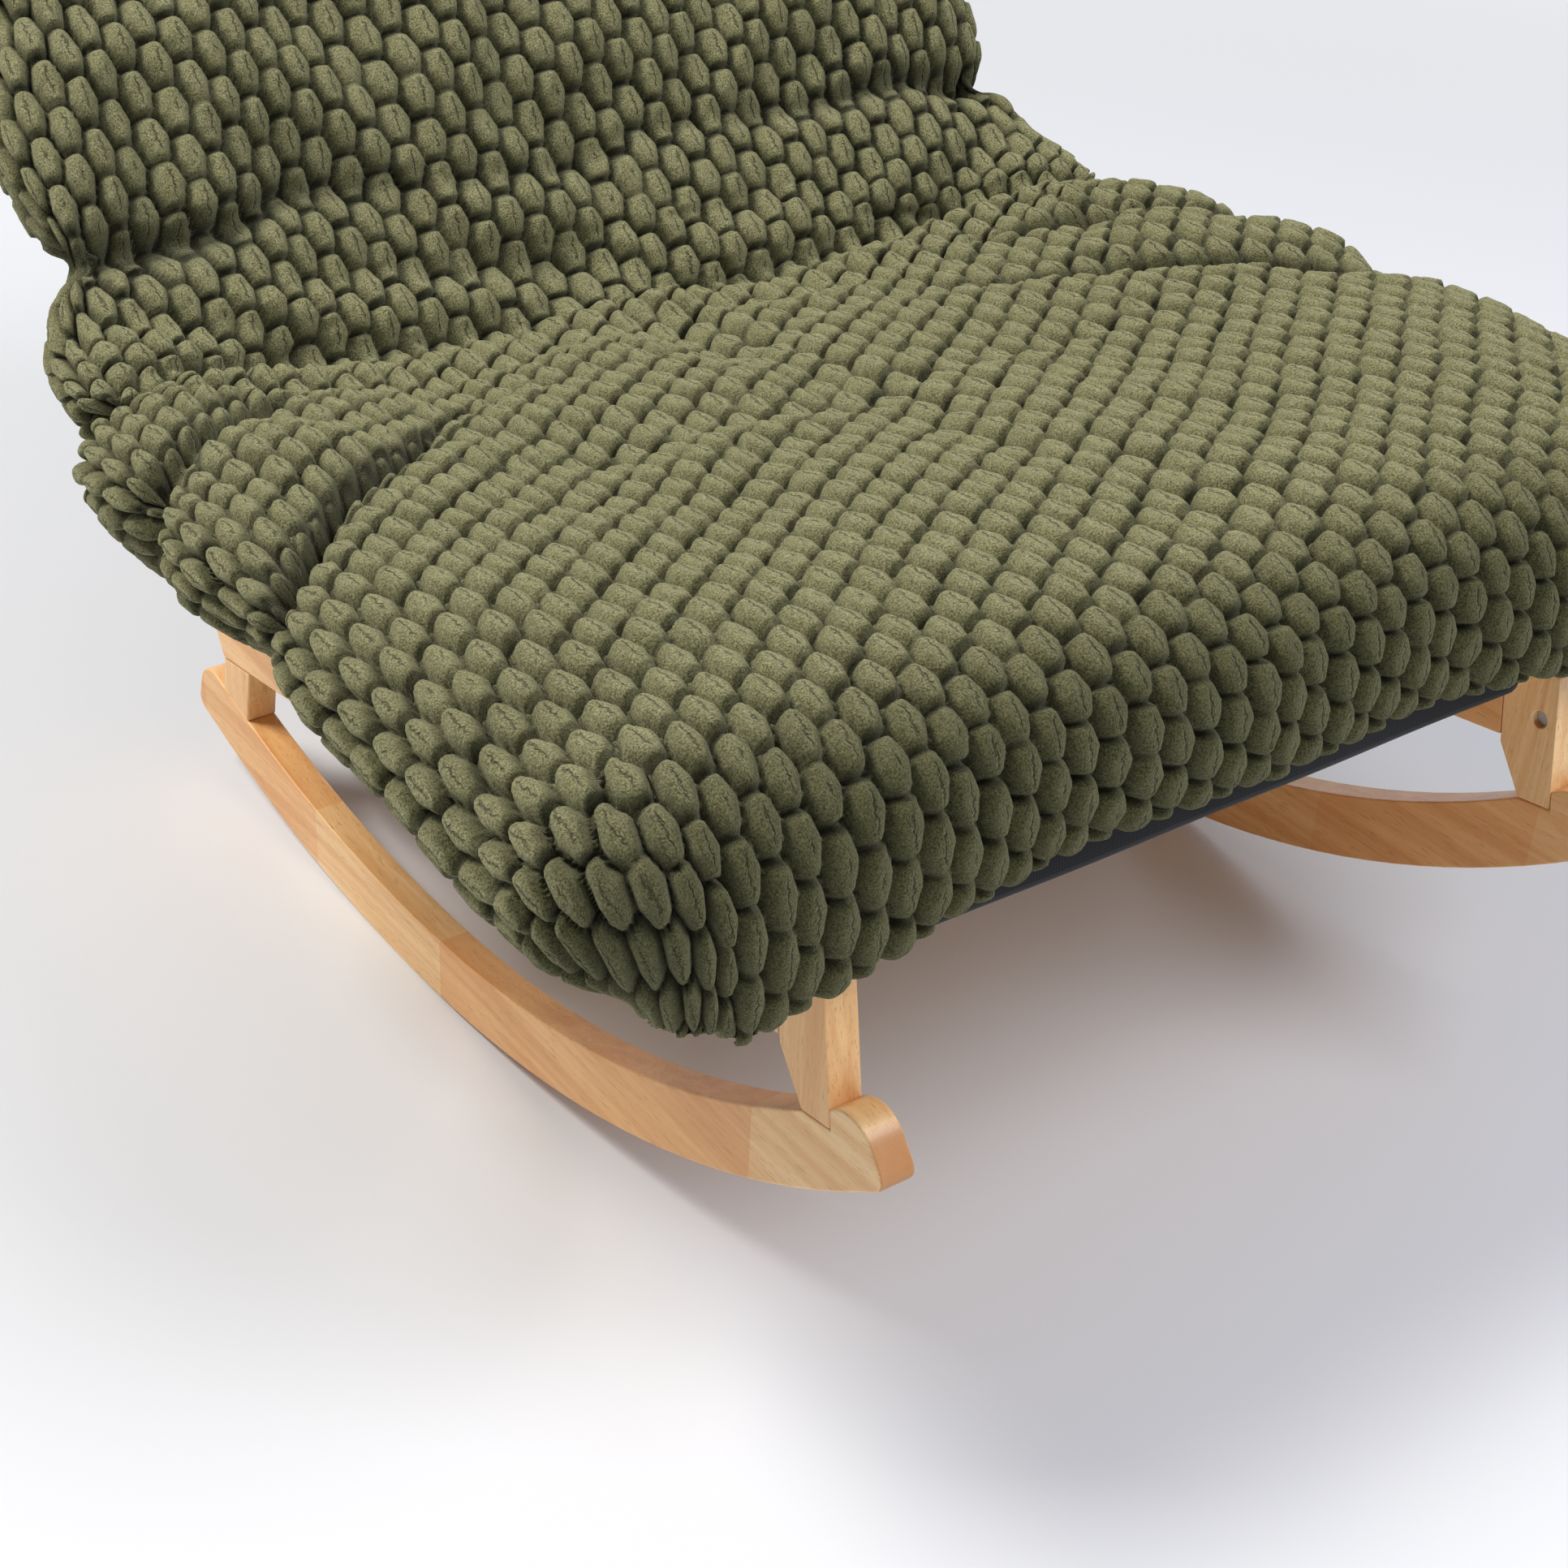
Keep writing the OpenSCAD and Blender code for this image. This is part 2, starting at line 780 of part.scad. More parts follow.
module front_left_leg() {
    color(wood)
        front_leg(-1);
}

module front_right_leg() {
    color(wood)
        front_leg(1);
}

module rear_left_leg() {
    color(wood)
        rear_leg(-1);
}

module rear_right_leg() {
    color(wood)
        rear_leg(1);
}

module left_side_rail() {
    color(wood)
        side_rail(-1);
}

module right_side_rail() {
    color(wood)
        side_rail(1);
}

module front_cross_rail() {
    color(wood)
        cross_rail(front_cross_y);
}

module middle_cross_rail() {
    color(wood)
        cross_rail(middle_cross_y);
}

module rear_cross_rail() {
    color(wood)
        cross_rail(rear_cross_y);
}

module leg_bolts() {
    color(steel)
        for (side = sides) {
            at_front_leg(side)
                translate([0, 0, -front_bolt_drop()])
                    bolt(leg_bolt_len);
            at_rear_leg(side)
                translate([0, 0, -rear_bolt_drop()])
                    bolt(leg_bolt_len);
        }
}

module leg_barrel_nuts() {
    color(steel)
        for (side = sides) {
            at_front_leg(side)
                translate([0, 0, front_nut_up()])
                    barrel_nut();
            at_rear_leg(side)
                translate([0, 0, rear_nut_up()])
                    barrel_nut();
        }
}

module rail_dowels() {
    color(wood)
        for (side = sides)
            at_rail_dowels(side)
                dowel();
}

module rear_leg_dowels() {
    color(wood)
        for (side = sides)
            at_rear_dowels(side)
                dowel();
}

module cross_rail_dowels() {
    color(wood)
        for (side = sides, y = [front_cross_y, middle_cross_y, rear_cross_y])
            at_cross_dowels(side, y)
                dowel();
}

module seat_deck() {
    color(plywood)
        deck();
}

module deck_screws() {
    color(steel)
        for (side = sides)
            at_deck_screws(side)
                screw(deck_screw_len);
}

module left_back_upright() {
    color(wood)
        upright(-1);
}

module right_back_upright() {
    color(wood)
        upright(1);
}

module back_bolts() {
    color(steel)
        for (side = sides)
            at_back_bolts(side)
                bolt(upright_t + nut_len);
}

module back_insert_nuts() {
    color("Gold")
        for (side = sides)
            at_back_bolts(side)
                translate([0, 0, upright_t])
                    difference() {
                        cylinder(d = nut_d, h = nut_len, $fn = round_fn);
                        translate([0, 0, -1])
                            cylinder(d = bolt_d + hole_play / 2, h = nut_len + 2, $fn = round_fn);
                    }
}

module lower_back_rail() {
    color(wood)
        back_rail(0);
}

module middle_back_rail() {
    color(wood)
        back_rail(1);
}

module upper_back_rail() {
    color(wood)
        back_rail(2);
}

module back_rail_dowels() {
    color(wood)
        for (side = sides, i = [0:2])
            at_back_dowels(side, i)
                dowel();
}

module back_panel() {
    color(plywood)
        panel();
}

module panel_screws() {
    color(steel)
        for (side = sides)
            at_panel_screws(side)
                screw(panel_screw_len);
}

module base_cloth() {
    color(cloth)
        base_cloth_sheet();
}

module front_flap() {
    color(cloth)
        flap();
}

module back_cloth() {
    color(cloth)
        back_cloth_sheet();
}

module seat_cushion() {
    color(plush)
        cushion_part(0, seat_seam, 20, true, false);
}

module lumbar_cushion() {
    color(plush)
        cushion_part(seat_seam, lumbar_seam, 18, false, false);
}

module back_cushion() {
    color(plush)
        cushion_part(lumbar_seam, back_seam, 12, false, false);
}

module head_cushion() {
    color(plush)
        cushion_part(back_seam, cushion_len, 14, false, true);
}

left_rocker();
right_rocker();
front_left_leg();
front_right_leg();
rear_left_leg();
rear_right_leg();
left_side_rail();
right_side_rail();
front_cross_rail();
middle_cross_rail();
rear_cross_rail();
leg_bolts();
leg_barrel_nuts();
rail_dowels();
rear_leg_dowels();
cross_rail_dowels();
seat_deck();
deck_screws();
left_back_upright();
right_back_upright();
back_bolts();
back_insert_nuts();
lower_back_rail();
middle_back_rail();
upper_back_rail();
back_rail_dowels();
back_panel();
panel_screws();
base_cloth();
front_flap();
back_cloth();
seat_cushion();
lumbar_cushion();
back_cushion();
head_cushion();
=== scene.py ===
import math

import bmesh
import bpy
import numpy as np
from mathutils import Euler, Matrix, Vector


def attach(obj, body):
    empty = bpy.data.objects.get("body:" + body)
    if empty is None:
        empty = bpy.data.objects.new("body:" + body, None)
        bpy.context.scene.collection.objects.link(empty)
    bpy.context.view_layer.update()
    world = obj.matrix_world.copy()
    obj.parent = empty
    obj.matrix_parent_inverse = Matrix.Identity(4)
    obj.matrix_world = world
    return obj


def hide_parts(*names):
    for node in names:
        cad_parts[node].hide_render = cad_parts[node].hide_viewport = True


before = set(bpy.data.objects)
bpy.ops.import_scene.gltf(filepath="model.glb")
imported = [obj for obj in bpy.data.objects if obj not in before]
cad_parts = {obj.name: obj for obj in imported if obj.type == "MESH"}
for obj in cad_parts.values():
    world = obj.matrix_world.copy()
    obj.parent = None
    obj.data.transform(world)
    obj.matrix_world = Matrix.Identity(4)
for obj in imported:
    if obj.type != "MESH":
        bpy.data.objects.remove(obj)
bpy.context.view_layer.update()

# Stand of the chair and the camera
# The frame is drawn level, leant 4.7 degrees back onto its rockers and rolled
# 4.5 degrees further along the rear arc, as in the CAD part. The camera is
# placed for the leant chair and rolls with it, so its view stays the same.

lean = math.radians(4.7)
roll_back = math.radians(4.5)
rear_radius = 0.960

rolled = (
    Matrix.Translation((0, 0, rear_radius))
    @ Matrix.Rotation(-roll_back, 4, "X")
    @ Matrix.Translation((0, 0, -rear_radius))
)
standing = rolled @ Matrix.Rotation(-lean, 4, "X")


def stand(points_mm):
    """Points of the level drawing in millimetres, as metres on the floor."""
    turn = np.array(standing.to_3x3())
    shift = np.array(standing.translation)
    return np.asarray(points_mm, float) / 1000 @ turn.T + shift


def new_object(name, data):
    """Object with this data, put into the scene."""
    made = bpy.data.objects.new(name, data)
    bpy.context.scene.collection.objects.link(made)
    return made


camera_place = (-0.9327, -1.2547, 0.9542)
camera_aim = (math.radians(60.543), 0, math.radians(-35.92))
camera_data = bpy.data.cameras.new("camera")
camera_data.lens = 59.83
camera_data.sensor_width = 36
camera = new_object("camera", camera_data)
camera.matrix_world = rolled @ Matrix.Translation(camera_place) @ Euler(camera_aim).to_matrix().to_4x4()
bpy.context.scene.camera = camera

# Floor and studio light
# A plain matt white studio floor fades into the white room beyond it. One
# large soft lamp stands high at the rear left, a weaker one at the front right.


def srgb(hex_colour, alpha=1.0):
    """Linear colour of an sRGB hex value."""
    value = [int(hex_colour[i:i + 2], 16) / 255 for i in (1, 3, 5)]
    return [c / 12.92 if c <= 0.04045 else ((c + 0.055) / 1.055) ** 2.4 for c in value] + [alpha]


def add(tree, kind, settings=None, links=None, **inputs):
    """Adds a node, with its settings, its values by socket and its links."""
    node = tree.nodes.new("ShaderNode" + kind)
    for name, value in (settings or {}).items():
        setattr(node, name, value)
    for name, value in inputs.items():
        key = int(name[1:]) if name[0] == "_" else name.replace("_", " ")
        node.inputs[key].default_value = value
    for key, source in (links or {}).items():
        tree.links.new(source, node.inputs[key])
    return node


def new_material(name):
    """Empty node material and its tree."""
    material = bpy.data.materials.new(name)
    material.use_nodes = True
    material.node_tree.nodes.clear()
    return material, material.node_tree


def seen_by(tree, *rays):
    """1 for a ray of one of these kinds, otherwise 0."""
    path = add(tree, "LightPath")
    seen = path.outputs[rays[0]]
    for ray in rays[1:]:
        seen = add(tree, "Math", {"operation": "MAXIMUM"}, {0: seen, 1: path.outputs[ray]}).outputs[0]
    return seen


floor_side, floor_front, floor_rear = 14, -10, 18
fade_start, fade_end = 1.0, 4.0
floor_corners = [(-floor_side, floor_front, 0), (floor_side, floor_front, 0),
                 (floor_side, floor_rear, 0), (-floor_side, floor_rear, 0)]
floor_mesh = bpy.data.meshes.new("studio_floor")
floor_mesh.from_pydata(floor_corners, [], [(0, 1, 2, 3)])
floor = new_object("studio_floor", floor_mesh)

# Matt paint: no gloss, so the floor shows only the chair's soft shadow. From
# 1 to 4 m away the eye sees it go over into the room's white
floor_paint, tree = new_material("matt_white_paint")
bsdf = add(tree, "BsdfPrincipled", Base_Color=srgb("#e3e4e6"), Roughness=0.9, Specular_IOR_Level=0.1)
place = add(tree, "TexCoord")
away = add(tree, "VectorMath", {"operation": "LENGTH"}, {0: place.outputs["Object"]})
fade = add(tree, "MapRange", {"interpolation_type": "SMOOTHSTEP"}, {0: away.outputs["Value"]},
           _1=fade_start, _2=fade_end)
seen = seen_by(tree, "Is Camera Ray", "Is Glossy Ray")
share = add(tree, "Math", {"operation": "MULTIPLY"}, {0: fade.outputs[0], 1: seen})
room_white = add(tree, "Emission", Color=(1, 1, 1, 1), Strength=1.0)
mix = add(tree, "MixShader", links={0: share.outputs[0], 1: bsdf.outputs[0], 2: room_white.outputs[0]})
add(tree, "OutputMaterial", links={"Surface": mix.outputs[0]})
floor_mesh.materials.append(floor_paint)

world = bpy.data.worlds.new("white_room")
bpy.context.scene.world = world
world.use_nodes = True
tree = world.node_tree
tree.nodes.clear()
seen = seen_by(tree, "Is Camera Ray", "Is Glossy Ray", "Is Transmission Ray")
room_light = add(tree, "Background", Color=srgb("#e9f0ff"), Strength=0.34)
room_white = add(tree, "Background", Color=(1, 1, 1, 1), Strength=1.0)
mix = add(tree, "MixShader", links={0: seen, 1: room_light.outputs[0], 2: room_white.outputs[0]})
add(tree, "OutputWorld", links={"Surface": mix.outputs[0]})


def soft_lamp(name, place, target, size, watts, colour):
    """Square soft lamp at a place, aimed at a target."""
    data = bpy.data.lights.new(name, "AREA")
    data.size = size
    data.energy = watts
    data.color = srgb(colour)[:3]
    lamp = new_object(name, data)
    lamp.location = place
    lamp.rotation_euler = (Vector(target) - Vector(place)).to_track_quat("-Z", "Y").to_euler()


soft_lamp("key_rear_left", (-2.2, 1.6, 4.0), (0, 0, 0.3), 1.4, 190, "#fffcf7")
soft_lamp("fill_front_right", (1.3, -2.1, 3.0), (0.2, -0.3, 0.1), 2.0, 84, "#f6f6fb")

# Wooden boards of the base and the back
# Rubberwood battens, sawn, finger-jointed, sanded, eased along their edges
# and sealed with clear satin lacquer. They are screwed, doweled and bolted.


def two_tone(tree, value, dark, light, start=0.0, end=1.0):
    """Colour that goes from dark to light as a value goes from start to end."""
    tone = add(tree, "ValToRGB", {}, {0: value})
    first, last = tone.color_ramp.elements
    first.position, last.position = start, end
    first.color, last.color = srgb(dark), srgb(light)
    return tone


joint_every = 0.17


def wood_material(name, turn, seed, light="#fcd9a2", dark="#e9b678"):
    """Rubberwood with its grain along the turned X axis, under satin lacquer.
    The grain shows as long soft streaks with short darker pores."""
    material, tree = new_material(name)
    place = add(tree, "TexCoord")
    along = add(tree, "Mapping", {}, {"Vector": place.outputs["Object"]},
                Rotation=turn, Location=(0.37 * seed, 0.21 * seed, 0.13 * seed))
    # growth rings about 11 mm wide, drawn out to 250 mm
    rings = add(tree, "Mapping", {}, {"Vector": along.outputs[0]}, Scale=(4, 90, 90))
    ring = add(tree, "TexNoise", {}, {"Vector": rings.outputs[0]},
               Scale=1.0, Detail=3.0, Roughness=0.55, Distortion=0.7)
    # pores 0.3 mm wide are drawn 1 mm wide and 12 mm long, so that they show
    pores = add(tree, "Mapping", {}, {"Vector": along.outputs[0]}, Scale=(80, 1000, 1000))
    pore = add(tree, "TexNoise", {}, {"Vector": pores.outputs[0]}, Scale=1.0, Detail=2.0, Roughness=0.6)
    pore_mask = add(tree, "MapRange", {}, {0: pore.outputs[0]}, _1=0.58, _2=0.72, _3=0.0, _4=0.6)
    tone = two_tone(tree, ring.outputs[0], dark, light, 0.32, 0.66)
    # tone of the plank changes slowly over 100 mm
    slow = add(tree, "TexNoise", {}, {"Vector": place.outputs["Object"]}, Scale=9.0, Detail=1.0)
    shade = add(tree, "MixRGB", {"blend_type": "MULTIPLY"}, {1: tone.outputs[0]}, _2=srgb("#f8ead3"))
    tree.links.new(slow.outputs[0], shade.inputs[0])
    # finger-jointed lengths differ in tone
    split = add(tree, "SeparateXYZ", {}, {0: along.outputs[0]})
    length = add(tree, "Math", {"operation": "DIVIDE"}, {0: split.outputs[0]}, _1=joint_every)
    number = add(tree, "Math", {"operation": "FLOOR"}, {0: length.outputs[0]})
    pick = add(tree, "TexWhiteNoise", {"noise_dimensions": "1D"}, {"W": number.outputs[0]})
    plank = add(tree, "MapRange", {}, {0: pick.outputs[0]}, _3=0.0, _4=0.75)
    jointed = add(tree, "MixRGB", {"blend_type": "MULTIPLY"}, {0: plank.outputs[0], 1: shade.outputs[0]},
                  _2=srgb("#efcba2"))
    # end grain drinks the lacquer and turns orange
    facing = add(tree, "Mapping", {"vector_type": "NORMAL"}, {"Vector": place.outputs["Normal"]},
                 Rotation=turn)
    facing_x = add(tree, "SeparateXYZ", {}, {0: facing.outputs[0]})
    endwise = add(tree, "Math", {"operation": "ABSOLUTE"}, {0: facing_x.outputs[0]})
    end_mask = add(tree, "MapRange", {}, {0: endwise.outputs[0]}, _1=0.45, _2=0.7, _3=0.0, _4=0.85)
    ended = add(tree, "MixRGB", {}, {0: end_mask.outputs[0], 1: jointed.outputs[0]}, _2=srgb("#bd7c42"))
    colour = add(tree, "MixRGB", {}, {0: pore_mask.outputs[0], 1: ended.outputs[0]}, _2=srgb("#a97645"))
    bump = add(tree, "Bump", {}, {"Height": pore.outputs[0]}, Strength=0.12, Distance=0.0003)
    bsdf = add(tree, "BsdfPrincipled", {}, {"Base Color": colour.outputs[0], "Normal": bump.outputs[0]},
               Roughness=0.42, IOR=1.5, Coat_Weight=0.25, Coat_Roughness=0.3)
    add(tree, "OutputMaterial", links={"Surface": bsdf.outputs[0]})
    return material


def eased(node, name, material, ease_mm=1.6):
    """Copy of a CAD board with its sharp edges eased, which stands for the board."""
    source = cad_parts[node]
    mesh = source.data.copy()
    mesh.name = name
    work = bmesh.new()
    work.from_mesh(mesh)
    bmesh.ops.remove_doubles(work, verts=work.verts, dist=0.00002)
    bmesh.ops.dissolve_limit(work, angle_limit=math.radians(0.5), verts=work.verts, edges=work.edges)
    work.to_mesh(mesh)
    work.free()
    mesh.materials.clear()
    mesh.materials.append(material)
    board = new_object(name, mesh)
    bevel = board.modifiers.new("eased_edges", "BEVEL")
    bevel.width = ease_mm / 1000
    bevel.segments = 3
    bevel.limit_method = "ANGLE"
    bevel.angle_limit = math.radians(40)
    bevel.use_clamp_overlap = False
    bevel.harden_normals = True
    for polygon in mesh.polygons:
        polygon.use_smooth = True
    mesh.set_sharp_from_angle(angle=math.radians(30))
    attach(board, "root")
    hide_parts(node)


tilt = lean + roll_back
quarter = math.pi / 2
along_x = (0, 0, 0)
along_y = (0, tilt, -quarter)
along_leg = (0, quarter, 0)

# each board has its own seed, so that no two have the same grain
for side, word in ((-1, "left"), (1, "right")):
    eased(f"{word}_rocker", f"rocker_{word}",
          wood_material(f"lacquered_rubberwood_rocker_{word}", along_y, 3 + side))
    eased(f"front_{word}_leg", f"leg_front_{word}",
          wood_material(f"lacquered_rubberwood_leg_front_{word}", along_leg, 7 + side))
    eased(f"rear_{word}_leg", f"leg_rear_{word}",
          wood_material(f"lacquered_rubberwood_leg_rear_{word}", along_leg, 11 + side))
    eased(f"{word}_side_rail", f"rail_side_{word}",
          wood_material(f"lacquered_rubberwood_rail_side_{word}", along_y, 15 + side))
    eased(f"{word}_back_upright", f"upright_back_{word}",
          wood_material(f"lacquered_rubberwood_upright_{word}", along_leg, 19 + side))

for number, node in enumerate(("front_cross_rail", "middle_cross_rail", "rear_cross_rail",
                               "lower_back_rail", "middle_back_rail", "upper_back_rail")):
    eased(node, node + "_board",
          wood_material(f"lacquered_rubberwood_cross_{number}", along_x, 23 + number))

# Dowels
# Beech dowels glued across the joints of the frame, hidden in their holes.


def give_material(material, *nodes):
    """Gives CAD solids their material."""
    for node in nodes:
        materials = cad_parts[node].data.materials
        materials.clear()
        materials.append(material)


beech = wood_material("beech_dowel", along_x, 41, "#e3c39c", "#cda77c")
give_material(beech, "rail_dowels", "rear_leg_dowels", "cross_rail_dowels", "back_rail_dowels")

# Plywood deck and back panel
# Birch plywood, sanded and left raw. Its thin veneers show as stripes at the
# cut edges.

ply, tree = new_material("raw_birch_plywood")
place = add(tree, "TexCoord")
stretch = add(tree, "Mapping", {}, {"Vector": place.outputs["Object"]}, Scale=(70, 5, 70))
grain = add(tree, "TexNoise", {}, {"Vector": stretch.outputs[0]}, Scale=1.0, Detail=4.0, Distortion=1.2)
tone = two_tone(tree, grain.outputs[0], "#c6a274", "#dcc095", 0.35, 0.7)
bump = add(tree, "Bump", {}, {"Height": grain.outputs[0]}, Strength=0.1, Distance=0.0004)
bsdf = add(tree, "BsdfPrincipled", {}, {"Base Color": tone.outputs[0], "Normal": bump.outputs[0]},
           Roughness=0.7)
add(tree, "OutputMaterial", links={"Surface": bsdf.outputs[0]})
give_material(ply, "seat_deck", "back_panel")

# Bolts, barrel nuts and screws
# Zinc-plated steel furniture bolts, nuts and wood screws; the insert nuts in
# the side rails are turned brass.


def metal(name, dark, light, roughness):
    """Turned or plated metal with fine drawing marks about 0.3 mm apart."""
    material, tree = new_material(name)
    place = add(tree, "TexCoord")
    marks = add(tree, "TexNoise", {}, {"Vector": place.outputs["Object"]}, Scale=3000.0, Detail=2.0)
    tone = two_tone(tree, marks.outputs[0], dark, light)
    rough = add(tree, "MapRange", {}, {0: marks.outputs[0]}, _3=roughness - 0.06, _4=roughness + 0.08)
    bsdf = add(tree, "BsdfPrincipled", {}, {"Base Color": tone.outputs[0], "Roughness": rough.outputs[0]},
               Metallic=1.0)
    add(tree, "OutputMaterial", links={"Surface": bsdf.outputs[0]})
    return material


zinc = metal("zinc_plated_steel", "#a9acae", "#c9ccce", 0.35)
brass = metal("turned_brass", "#b08a45", "#d0ab62", 0.3)
give_material(zinc, "leg_bolts", "leg_barrel_nuts", "deck_screws", "back_bolts", "panel_screws")
give_material(brass, "back_insert_nuts")

# Black cloth: base cloth, front flap and back cloth
# Plain woven polyester lining cloth, stapled over the deck and behind the
# back. The flap is the base cloth's hemmed front edge, hanging loose.

lining, tree = new_material("black_woven_polyester")
place = add(tree, "TexCoord")
# threads 0.5 mm apart are drawn 2 mm apart, so that they show
warp, weft = (add(tree, "TexWave", {"bands_direction": way}, {"Vector": place.outputs["Object"]},
                  Scale=160.0, Distortion=0.4) for way in ("X", "Z"))
both = add(tree, "Math", {"operation": "MULTIPLY"}, {0: warp.outputs["Fac"], 1: weft.outputs["Fac"]})
tone = two_tone(tree, both.outputs[0], "#121316", "#24262b")
bump = add(tree, "Bump", {}, {"Height": both.outputs[0]}, Strength=0.3, Distance=0.0003)
bsdf = add(tree, "BsdfPrincipled", {}, {"Base Color": tone.outputs[0], "Normal": bump.outputs[0]},
           Roughness=0.85, Sheen_Weight=0.15, Specular_IOR_Level=0.3)
add(tree, "OutputMaterial", links={"Surface": bsdf.outputs[0]})


def grid_faces(rows, cols):
    """Numbers of the points of a grid, and its four-cornered faces."""
    index = np.arange(rows * cols).reshape(rows, cols)
    faces = np.stack([index[:-1, :-1], index[:-1, 1:], index[1:, 1:], index[1:, :-1]], -1)
    return index, faces.reshape(-1, 4)


def cloth_sheet(name, node, grid, thick):
    """Thin sheet through a grid of level points in millimetres, which stands for a CAD cloth."""
    mesh = bpy.data.meshes.new(name)
    mesh.from_pydata(stand(grid.reshape(-1, 3)).tolist(), [], grid_faces(*grid.shape[:2])[1].tolist())
    mesh.materials.append(lining)
    sheet = new_object(name, mesh)
    for polygon in mesh.polygons:
        polygon.use_smooth = True
    solid = sheet.modifiers.new("cloth_thickness", "SOLIDIFY")
    solid.thickness = thick / 1000
    solid.offset = 0
    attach(sheet, "root")
    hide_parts(node)


def clamp01(x):
    """Values kept between 0 and 1."""
    return np.clip(x, 0.0, 1.0)


# Heights of the deck, the base cloth and the flap's lower edge, then the
# places and half widths of the three cloths, level and in millimetres. Seat
# and back meet at fold_y. The back cloth stands off by back_off and is pulled
# in between the uprights
deck_top, cloth_top, cross_low = 243.0, 244.2, 200.4
flap_y, flap_half, flap_corner = -402.0, 244.0, 10.0
base_front, base_rear, base_half = -402.5, 222.0, 284.0
fold_y, back_angle, back_high, back_half = 267.0, math.radians(70), 560.0, 266.0
back_off, back_pull = 51.9, 1.6

# flap: 488 mm wide, 43 mm deep, lower corners rounded, with slight waves
u, v = np.meshgrid(np.linspace(-1, 1, 123), np.linspace(0, 1, 13))
into_corner = clamp01((np.abs(u) * flap_half - flap_half + flap_corner) / flap_corner)
low_edge = cross_low + flap_corner * (1 - np.sqrt(1 - into_corner ** 2))
flap_x = u * flap_half
flap_z = deck_top - (deck_top - low_edge) * v
flap_bow = flap_y - v * (1.3 + 0.9 * np.sin(flap_x / 41.0 + 0.6) * np.sin(flap_x / 97.0))
cloth_sheet("front_flap_cloth", "front_flap", np.stack([flap_x, flap_bow, flap_z], -1), 1.0)

# base cloth: lies on the deck, 568 x 625 mm
u, v = np.meshgrid(np.linspace(-base_half, base_half, 40), np.linspace(base_front, base_rear, 44))
base_h = (deck_top + cloth_top) / 2 + 0.12 * np.sin(u / 23) * np.sin(v / 31)
cloth_sheet("base_cloth_sheet", "base_cloth", np.stack([u, v, base_h], -1), 0.9)

# back cloth: pulled tight behind the uprights
back_low = (deck_top - cloth_top) / math.sin(back_angle)
u, v = np.meshgrid(np.linspace(-back_half, back_half, 60), np.linspace(back_low, back_high, 64))
up_share = (v - back_low) / (back_high - back_low)
pull = back_off - back_pull * np.sin(np.pi * up_share) * np.cos(u / back_half * np.pi / 2)
back_y = fold_y + v * math.cos(back_angle) + pull * math.sin(back_angle)
back_z = cloth_top + v * math.sin(back_angle) - pull * math.cos(back_angle)
cloth_sheet("back_cloth_sheet", "back_cloth", np.stack([u, back_y, back_z], -1), 0.9)

# Plush cushion
# One bag of embossed plush, filled with soft beads, runs from the nose over
# the seat and up the back. Its cover stands up in columns of barrel-shaped
# puffs and gathers into creases where the bag folds.

# sizes are in millimetres, and s is a length along the bag's underside, from
# the nose to the head
nose_y, bend_r, head_over = -450.0, 215.0, 48.0
bend_y = fold_y - bend_r * math.tan(back_angle / 2)
flat_len = bend_y - nose_y
bend_len = bend_r * back_angle
back_start = flat_len + bend_len
foot_rise = bend_r * (1 - math.cos(back_angle)) / math.sin(back_angle)
cushion_len = back_start + back_high - foot_rise + head_over
valley_s = flat_len + 0.59 * bend_len
nose_in = 75.0
head_in = cushion_len - 70.0

# half of the width, and by how much the bag is narrower at the head, the
# valley and the nose
seat_half, head_less, valley_less, nose_less = 450.0, 115.0, 20.0, 12.0
# creases that draw the sides in: where, how deep and how wide
side_creases = ((350, 10, 26), (465, 9, 26), (655, 12, 30), (880, 12, 50), (1095, 12, 50))
# thickness, and by how much it is less over the bend, the back, the valley and
# the nose
seat_thick, bend_thin, back_thin, valley_thin, nose_thin = 119.0, 27.0, 32.0, 12.0, 9.0
# shares of the thickness below and above the bag's widest line
edge_share, dome_share = 0.42, 0.58
# how far the sides rise beside the valley and hang at the nose and the head
wing_lift, nose_droop, head_droop = 95.0, 50.0, 28.0
# gap between bag and frame, and how far out the bag lies on the frame
gap, lying_half, wing_least = 0.3, 290.0, 45.0
# lengths from the nose over which the bag widens, thickens, stops hanging,
# gets thinner at the bend and hangs again at the head
widen_run, thicken_run, hang_run = (60, 260), (60, 210), (50, 240)
bend_run, head_run = (flat_len - 40, back_start), (880, 1000)
# where the sides begin and cease to rise, and the waist and valley they draw in
lift_from, lift_to = 110, 1030
waist_s, waist_wide, valley_wide = valley_s - 90, 130, 34


def ramp(s, a, b):
    """0 up to a, 1 beyond b and straight between them."""
    return clamp01((s - a) / (b - a))


def dent(s, at, wide):
    """Bell curve with its top, 1, at a place."""
    return np.exp(-(((s - at) / wide) ** 2))


def underside(s):
    """Line under the cushion at a length s from the nose: level y, z and slope."""
    a = np.clip((s - flat_len) / bend_r, 0, back_angle)
    d = np.maximum(s - back_start, 0)
    y = nose_y + np.minimum(s, flat_len) + bend_r * np.sin(a) + d * math.cos(back_angle)
    z = cloth_top + bend_r * (1 - np.cos(a)) + d * math.sin(back_angle)
    return y, z, a


def half_width(s):
    """Distance from the middle to the bag's widest line."""
    width = (seat_half - head_less * ramp(s, flat_len, cushion_len)
             - valley_less * dent(s, waist_s, waist_wide) - nose_less * (1 - ramp(s, *widen_run)) ** 1.5)
    for at, deep, wide in side_creases:
        width = width - deep * dent(s, at, wide)
    return width


